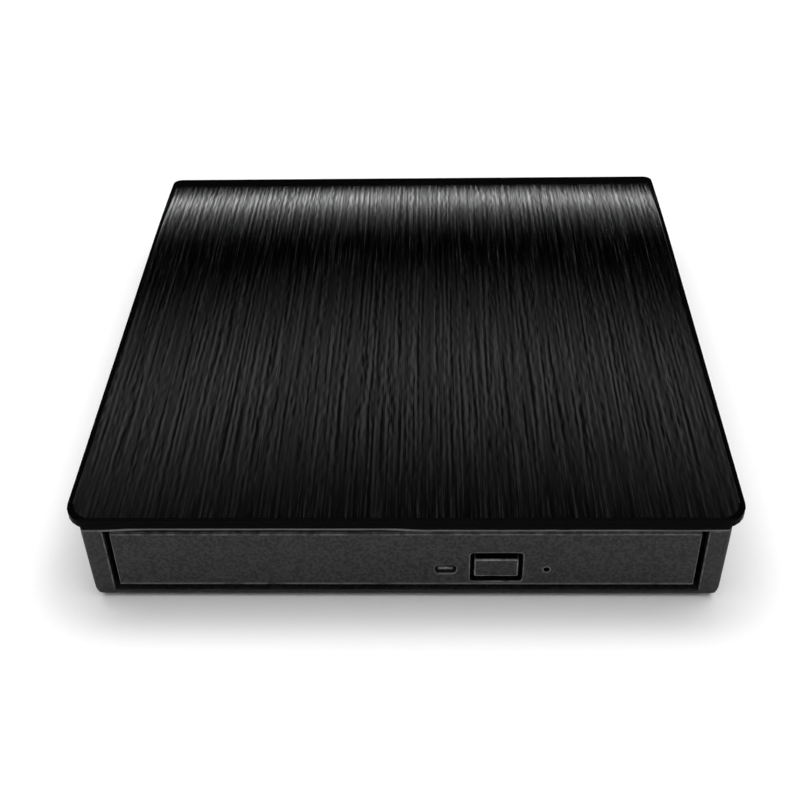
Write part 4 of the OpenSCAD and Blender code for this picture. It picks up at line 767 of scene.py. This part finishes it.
def shade_the_openings():
    """The button's sides and flange and the walls of its slot and of the pin hole lie in deep shade."""
    low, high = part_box("eject_button")
    for node in ("tray_bezel", "eject_button"):
        piece = fronts[node]
        piece.data.materials.append(FINISH["slot_shade"])
        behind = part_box(node)[0][1] + 0.1 * MM
        for face in piece.data.polygons:
            x, y, z = face.center
            in_slot = low[0] < x < high[0] and low[2] < z < high[2]
            if y > behind and (in_slot or at_pin_hole(x, z)):
                face.material_index = 2


shade_the_openings()


# Lid panel: a thin plate that is flat, then rolls off towards the rear.
ROLL_START, ROLL_RUN, ROLL_DROP = 33.0, 42.0, 1.2
PANEL_FRONT_R, PANEL_REAR_R = 5.1, 1.6
PANEL_EASE, PANEL_THICK = 0.2, 0.45
PANEL_LOW, PANEL_HIGH = ([c / MM for c in corner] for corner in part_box("lid_panel"))


def lid_height(y):
    return PANEL_HIGH[2] - ROLL_DROP * (max(0.0, y - ROLL_START) / ROLL_RUN) ** 2


def panel_side(inset):
    """Points of the right side, front to rear, with both its corners."""
    steps, side_steps = 8, 40
    half, front, rear = PANEL_HIGH[0], PANEL_LOW[1] + PANEL_FRONT_R, PANEL_HIGH[1] - PANEL_REAR_R
    points = []
    for i in range(steps + 1):
        a = math.pi / 2 * i / steps
        points.append((half - PANEL_FRONT_R + (PANEL_FRONT_R - inset) * math.sin(a),
                       front - (PANEL_FRONT_R - inset) * math.cos(a)))
    points += [(half - inset, front + (rear - front) * i / side_steps) for i in range(1, side_steps)]
    for i in range(steps + 1):
        a = math.pi / 2 * i / steps
        points.append((half - PANEL_REAR_R + (PANEL_REAR_R - inset) * math.cos(a),
                       rear + (PANEL_REAR_R - inset) * math.sin(a)))
    return points


def make_lid_panel():
    turns = 4
    sections = [(0.0, -PANEL_THICK)]
    for i in range(turns + 1):
        a = math.pi / 2 * i / turns
        sections.append((PANEL_EASE * (1 - math.cos(a)), -PANEL_EASE * (1 - math.sin(a))))
    sections.append((3 * PANEL_EASE, 0.0))
    bm = bmesh.new()
    loops = []
    for inset, under in sections:
        side = panel_side(inset)
        ring = side + [(-x, y) for x, y in reversed(side)]
        loops.append([bm.verts.new(Vector((x, y, lid_height(y) + under)) * MM) for x, y in ring])
    count = len(loops[0])
    edge_bands = len(loops) - 2
    for band, (low, high) in enumerate(zip(loops, loops[1:])):
        for i in range(count):
            n = (i + 1) % count
            face = bm.faces.new((low[i], low[n], high[n], high[i]))
            along_side = abs(low[i].co.x - low[n].co.x) < 0.001 * MM
            face.material_index = 0 if band == edge_bands and along_side else 1
    for right in range(count // 2 - 1):
        left = count - 1 - right
        bm.faces.new((loops[-1][left], loops[-1][right], loops[-1][right + 1], loops[-1][left - 1]))
        bm.faces.new((loops[0][right], loops[0][left], loops[0][left - 1], loops[0][right + 1]))
    stands_for(smoothed(new_object("lid_panel_sheet", bm), 40), "lid_panel", ["lid_plastic"])


make_lid_panel()


# Geometry Nodes trees for things that repeat or wind.
def growth_tree(name, inputs):
    tree = bpy.data.node_groups.new(name, "GeometryNodeTree")
    tree.interface.new_socket("Geometry", in_out="INPUT", socket_type="NodeSocketGeometry")
    for label, kind in inputs:
        tree.interface.new_socket(label, in_out="INPUT", socket_type="NodeSocket" + kind)
    tree.interface.new_socket("Geometry", in_out="OUTPUT", socket_type="NodeSocketGeometry")
    return tree, tree.nodes.new("NodeGroupInput").outputs, tree.nodes.new("NodeGroupOutput").inputs


def add(tree, kind, **wires):
    node = tree.nodes.new(kind)
    for label, value in wires.items():
        socket = node.inputs[label.replace("_", " ")]
        if isinstance(value, bpy.types.NodeSocket):
            link(tree, value, socket)
        else:
            socket.default_value = value
    return node


def vector(tree, x=0.0, y=0.0, z=0.0):
    return add(tree, "ShaderNodeCombineXYZ", X=x, Y=y, Z=z).outputs[0]


def moved(tree, geometry, place):
    return add(tree, "GeometryNodeTransform", Geometry=geometry, Translation=place).outputs[0]


def end_with(tree, geometry, finish, out):
    real = add(tree, "GeometryNodeRealizeInstances", Geometry=geometry).outputs[0]
    finished = add(tree, "GeometryNodeSetMaterial", Geometry=real, Material=finish)
    link(tree, finished.outputs[0], out["Geometry"])


def on_points(tree, points, shape, turn=None):
    node = add(tree, "GeometryNodeInstanceOnPoints", Points=points, Instance=shape)
    if turn is not None:
        link(tree, add(tree, "FunctionNodeEulerToRotation", Euler=turn).outputs[0], node.inputs["Rotation"])
    return node.outputs[0]


def screw_tree():
    """Pan-head screws with a cross recess, each with its head's face on a point and facing +Z."""
    tree, given, out = growth_tree("cross_head_screws", [
        ("Head radius", "Float"), ("Head height", "Float"), ("Shank radius", "Float"),
        ("Shank length", "Float"), ("Turn", "Vector"), ("Finish", "Material")])
    radius, height = given["Head radius"], given["Head height"]
    cone = add(tree, "GeometryNodeMeshCone", Vertices=40, Radius_Bottom=radius, Depth=height,
               Radius_Top=times(tree, radius, 0.84))
    head = moved(tree, cone.outputs["Mesh"], vector(tree, z=times(tree, height, -1.0)))
    arms = []
    for long_x, long_y in ((1.15, 0.26), (0.26, 1.15)):
        size = vector(tree, times(tree, radius, long_x), times(tree, radius, long_y),
                      times(tree, height, 1.1))
        arms.append(add(tree, "GeometryNodeMeshCube", Size=size).outputs["Mesh"])
    recess = tree.nodes.new("GeometryNodeMeshBoolean")
    recess.operation = "DIFFERENCE"
    recess.solver = "EXACT"
    link(tree, head, recess.inputs["Mesh 1"])
    for arm in arms:
        link(tree, arm, recess.inputs["Mesh 2"])
    shank = add(tree, "GeometryNodeMeshCylinder", Vertices=20, Radius=given["Shank radius"],
                Depth=given["Shank length"])
    drop = value_node(tree, "ADD", height, times(tree, given["Shank length"], 0.5))
    body = moved(tree, shank.outputs["Mesh"], vector(tree, z=times(tree, drop, -0.999)))
    join = tree.nodes.new("GeometryNodeJoinGeometry")
    for shape in (recess.outputs["Mesh"], body):
        link(tree, shape, join.inputs["Geometry"])
    end_with(tree, on_points(tree, given["Geometry"], join.outputs[0], given["Turn"]), given["Finish"], out)
    return tree


def foot_tree():
    """Round feet that stand on their points, with a chamfered rim and a shallow dish on the sole."""
    tree, given, out = growth_tree("round_feet", [
        ("Radius", "Float"), ("Height", "Float"), ("Chamfer", "Float"), ("Finish", "Material")])
    radius, chamfer = given["Radius"], given["Chamfer"]
    sole = add(tree, "GeometryNodeMeshCone", Vertices=64, Radius_Top=radius, Depth=chamfer,
               Radius_Bottom=value_node(tree, "SUBTRACT", radius, chamfer))
    wall_height = value_node(tree, "SUBTRACT", given["Height"], chamfer)
    wall = add(tree, "GeometryNodeMeshCylinder", Vertices=64, Radius=radius, Depth=wall_height)
    lift = value_node(tree, "ADD", chamfer, times(tree, wall_height, 0.5))
    union = tree.nodes.new("GeometryNodeMeshBoolean")
    union.operation = "UNION"
    union.solver = "EXACT"
    lifted = moved(tree, wall.outputs["Mesh"], vector(tree, z=times(tree, lift, 0.999)))
    for shape in (sole.outputs["Mesh"], lifted):
        link(tree, shape, union.inputs["Mesh 2"])
    dish = add(tree, "GeometryNodeMeshCylinder", Vertices=48, Radius=times(tree, radius, 0.62),
               Depth=chamfer)
    hollow = tree.nodes.new("GeometryNodeMeshBoolean")
    hollow.operation = "DIFFERENCE"
    hollow.solver = "EXACT"
    link(tree, union.outputs["Mesh"], hollow.inputs["Mesh 1"])
    link(tree, dish.outputs["Mesh"], hollow.inputs["Mesh 2"])
    end_with(tree, on_points(tree, given["Geometry"], hollow.outputs["Mesh"]), given["Finish"], out)
    return tree


def coil_tree():
    """A helical wire along +Y from each point."""
    tree, given, out = growth_tree("wound_wire", [
        ("Radius", "Float"), ("Wire radius", "Float"), ("Length", "Float"), ("Turns", "Float"),
        ("Finish", "Material")])
    path = add(tree, "GeometryNodeCurveSpiral", Resolution=20, Rotations=given["Turns"],
               Start_Radius=given["Radius"], End_Radius=given["Radius"], Height=given["Length"])
    wire = add(tree, "GeometryNodeCurvePrimitiveCircle", Resolution=8, Radius=given["Wire radius"])
    tube = add(tree, "GeometryNodeCurveToMesh", Curve=path.outputs[0], Profile_Curve=wire.outputs[0],
               Fill_Caps=True)
    turned = add(tree, "GeometryNodeTransform", Geometry=tube.outputs[0])
    turned.inputs["Rotation"].default_value = Euler((-math.pi / 2, 0, 0))
    end_with(tree, on_points(tree, given["Geometry"], turned.outputs[0]), given["Finish"], out)
    return tree


def contact_tree():
    """Flat contacts of one size, each in the middle of its point."""
    tree, given, out = growth_tree("contact_row", [("Size", "Vector"), ("Finish", "Material")])
    strip = add(tree, "GeometryNodeMeshCube", Size=given["Size"])
    end_with(tree, on_points(tree, given["Geometry"], strip.outputs["Mesh"]), given["Finish"], out)
    return tree


def ball_tree():
    """Bearing balls round their points."""
    tree, given, out = growth_tree("ball_set", [("Radius", "Float"), ("Finish", "Material")])
    ball = add(tree, "GeometryNodeMeshUVSphere", Segments=32, Rings=18, Radius=given["Radius"])
    end_with(tree, on_points(tree, given["Geometry"], ball.outputs["Mesh"]), given["Finish"], out)
    return tree


def grown(name, tree, points, values, angle=35):
    """Runs a tree on a set of points and keeps what it makes as a plain mesh."""
    seeds = bpy.data.meshes.new(name + "_points")
    seeds.from_pydata([Vector(p) * MM for p in points], [], [])
    carrier = bpy.data.objects.new(name + "_points", seeds)
    scene.collection.objects.link(carrier)
    modifier = carrier.modifiers.new("growth", "NODES")
    modifier.node_group = tree
    for socket in tree.interface.items_tree:
        if socket.in_out == "INPUT" and socket.name in values:
            modifier[socket.identifier] = values[socket.name]
    mesh = bpy.data.meshes.new_from_object(carrier.evaluated_get(bpy.context.evaluated_depsgraph_get()))
    bpy.data.objects.remove(carrier)
    mesh.name = name
    piece = bpy.data.objects.new(name, mesh)
    scene.collection.objects.link(piece)
    return smoothed(piece, angle)


def middle_of(node):
    low, high = (Vector(c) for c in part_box(node))
    return (low + high) / 2 / MM


SCREWS, FEET, COIL, CONTACTS, BALLS = screw_tree(), foot_tree(), coil_tree(), contact_tree(), ball_tree()


# Fasteners and feet under the base.
def round_places(node, radius, rows):
    """Places of a node's round parts on its lowest plane: a left and a right one in each row."""
    low, high = ([c / MM for c in corner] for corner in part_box(node))
    ys = [(low[1] + high[1]) / 2] if rows == 1 else [low[1] + radius, high[1] - radius]
    return [(x, y, low[2]) for x in (low[0] + radius, high[0] - radius) for y in ys]


FOOT_R, FOOT_CHAMFER = 5.0, 0.3
SCREW_HEAD_R, SCREW_HEAD_H, SCREW_SHANK_R, SCREW_TIP_SHORT = 2.2, 1.0, 1.1, 0.05
feet_low, feet_high = (c[2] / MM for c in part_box("rubber_feet"))
stands_for(grown("rubber_feet_set", FEET, round_places("rubber_feet", FOOT_R, 2), {
    "Radius": FOOT_R * MM, "Height": (feet_high - feet_low) * MM, "Chamfer": FOOT_CHAMFER * MM,
    "Finish": FINISH["rubber"]}), "rubber_feet")

for node, rows in (("case_screws", 1), ("drive_screws", 2)):
    low, high = (c[2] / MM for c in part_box(node))
    stands_for(grown(node + "_crossed", SCREWS, round_places(node, SCREW_HEAD_R, rows), {
        "Head radius": SCREW_HEAD_R * MM, "Head height": SCREW_HEAD_H * MM,
        "Shank radius": SCREW_SHANK_R * MM,
        "Shank length": (high - low - SCREW_HEAD_H - SCREW_TIP_SHORT) * MM,
        "Turn": (math.pi, 0, 0), "Finish": FINISH["bright_steel"]}), node)


# Spindle, lens and the parts that wind or bend.
BALL_COUNT, BALL_R, BALL_CIRCLE_R = 3, 1.2, 6.8
hub = middle_of("spindle_rotor")
balls_z = middle_of("clamp_balls")[2]
ball_turns = [FULL_TURN * i / BALL_COUNT for i in range(BALL_COUNT)]
ball_places = [(hub[0] + BALL_CIRCLE_R * math.cos(a), hub[1] + BALL_CIRCLE_R * math.sin(a), balls_z)
               for a in ball_turns]
stands_for(grown("clamp_ball_set", BALLS, ball_places, {
    "Radius": BALL_R * MM, "Finish": FINISH["bright_steel"]}, 60), "clamp_balls")


def make_lens():
    low, high = (Vector(c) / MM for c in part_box("objective_lens"))
    centre = (low + high) / 2
    crown_share, flange_share, ease, steps = 0.78, 0.35, 0.05, 8
    r = (high[0] - low[0]) / 2
    crown_r = r * crown_share
    flange = low[2] + (high[2] - low[2]) * flange_share
    profile = [(0, low[2]), (r, low[2]), (r, flange - ease), (r - ease, flange), (crown_r, flange)]
    for i in range(1, steps):
        a = math.pi / 2 * i / steps
        profile.append((crown_r * math.cos(a), flange + (high[2] - flange) * math.sin(a)))
    profile.append((0, high[2]))
    bm = bmesh.new()
    lathe(bm, [(x * MM, z * MM) for x, z in profile], 48, (centre[0] * MM, centre[1] * MM))
    bmesh.ops.recalc_face_normals(bm, faces=bm.faces)
    stands_for(smoothed(new_object("lens_dome", bm)), "objective_lens")


make_lens()


def make_spring():
    low, high = (Vector(c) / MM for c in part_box("eject_spring"))
    middle = (low + high) / 2
    wire_r, turns = 0.19, 6.0
    spring = grown("eject_spring_coil", COIL, [(middle[0], low[1] + wire_r, middle[2])], {
        "Radius": ((high[0] - low[0]) / 2 - wire_r) * MM, "Wire radius": wire_r * MM,
        "Length": (high[1] - low[1] - 2 * wire_r) * MM, "Turns": turns,
        "Finish": FINISH["bright_steel"]}, 80)
    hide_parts("eject_spring")
    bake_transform(spring)


make_spring()


def make_flex():
    """Flat cable: a lower run on the pan, a fold, and an upper run."""
    low, high = (Vector(c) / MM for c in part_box("flex_cable"))
    thick, set_in, upper_end, rise_share = 0.1, 0.075, 44.0, 0.865
    step, turns = 2.0, 10
    low_z, high_z = low[2] + set_in, high[2] - set_in
    fold_r = (high_z - low_z) / 2
    fold_y = low[1] + fold_r + thick / 2
    # Place along Y, height, and the direction in which the ribbon has its thickness
    path = []
    y = high[1]
    while y > fold_y:
        path.append((y, low_z, 0.0, 1.0))
        y -= step
    for i in range(turns + 1):
        a = math.pi * i / turns
        across, up = math.sin(a), math.cos(a)
        path.append((fold_y - fold_r * across, low_z + fold_r * (1 - up), -across, up))
    y = fold_y + step
    while y < upper_end:
        path.append((y, high_z, 0.0, -1.0))
        y += step
    path.append((upper_end, high_z, 0.0, -1.0))
    bm = bmesh.new()
    rows = []
    for y, z, ny, nz in path:
        rows.append([bm.verts.new(Vector((x, y + side * ny * thick / 2, z + side * nz * thick / 2)) * MM)
                     for x, side in ((low[0], 1), (high[0], 1), (high[0], -1), (low[0], -1))])
    for first, second in zip(rows, rows[1:]):
        for i in range(4):
            n = (i + 1) % 4
            bm.faces.new((first[i], first[n], second[n], second[i]))
    bm.faces.new(rows[0])
    bm.faces.new(rows[-1])
    bmesh.ops.recalc_face_normals(bm, faces=bm.faces)
    flex = smoothed(new_object("flex_ribbon", bm))
    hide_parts("flex_cable")
    flex.data.materials.append(FINISH["flex"])
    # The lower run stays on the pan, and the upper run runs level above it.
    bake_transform(flex)


make_flex()


# Rear port: a steel shell round two black tongues with gilt contacts.
# The tongues' underside and top as shares of the shell's height
TONGUE_SHARE = (0.52, 0.72)
# Middle, pitch and count of each row of contacts
CONTACT_ROWS = [(-2.03, 1.0, 5), (3.87, 0.6, 3)]
# Their size, how far in from the shell's rear end their middles lie, and how far above the tongue's top
CONTACT_SIZE, CONTACT_IN, CONTACT_PROUD = (0.34, 4.0, 0.08), 3.6, 0.02


def make_port():
    shell = eased_copy("usb_receptacle", 0.06)
    shell.data.materials.append(FINISH["chip_plastic"])
    low, high = (Vector(c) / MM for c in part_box("usb_receptacle"))
    tongue_low, tongue_high = ((low[2] + (high[2] - low[2]) * share) * MM for share in TONGUE_SHARE)
    slack = 0.01 * MM
    for face in shell.data.polygons:
        heights = [shell.data.vertices[i].co.z for i in face.vertices]
        if min(heights) > tongue_low - slack and max(heights) < tongue_high + slack:
            face.material_index = 1
    middle = (low[0] + high[0]) / 2
    y, z = high[1] - CONTACT_IN, tongue_high / MM + CONTACT_PROUD
    places = [(middle + x + (i - (count - 1) / 2) * pitch, y, z)
              for x, pitch, count in CONTACT_ROWS for i in range(count)]
    contacts = grown("port_contacts", CONTACTS, places, {
        "Size": tuple(side * MM for side in CONTACT_SIZE), "Finish": FINISH["gold_contact"]})
    dress(contacts, "gold_contact", BODY_OF["usb_receptacle"])


make_port()
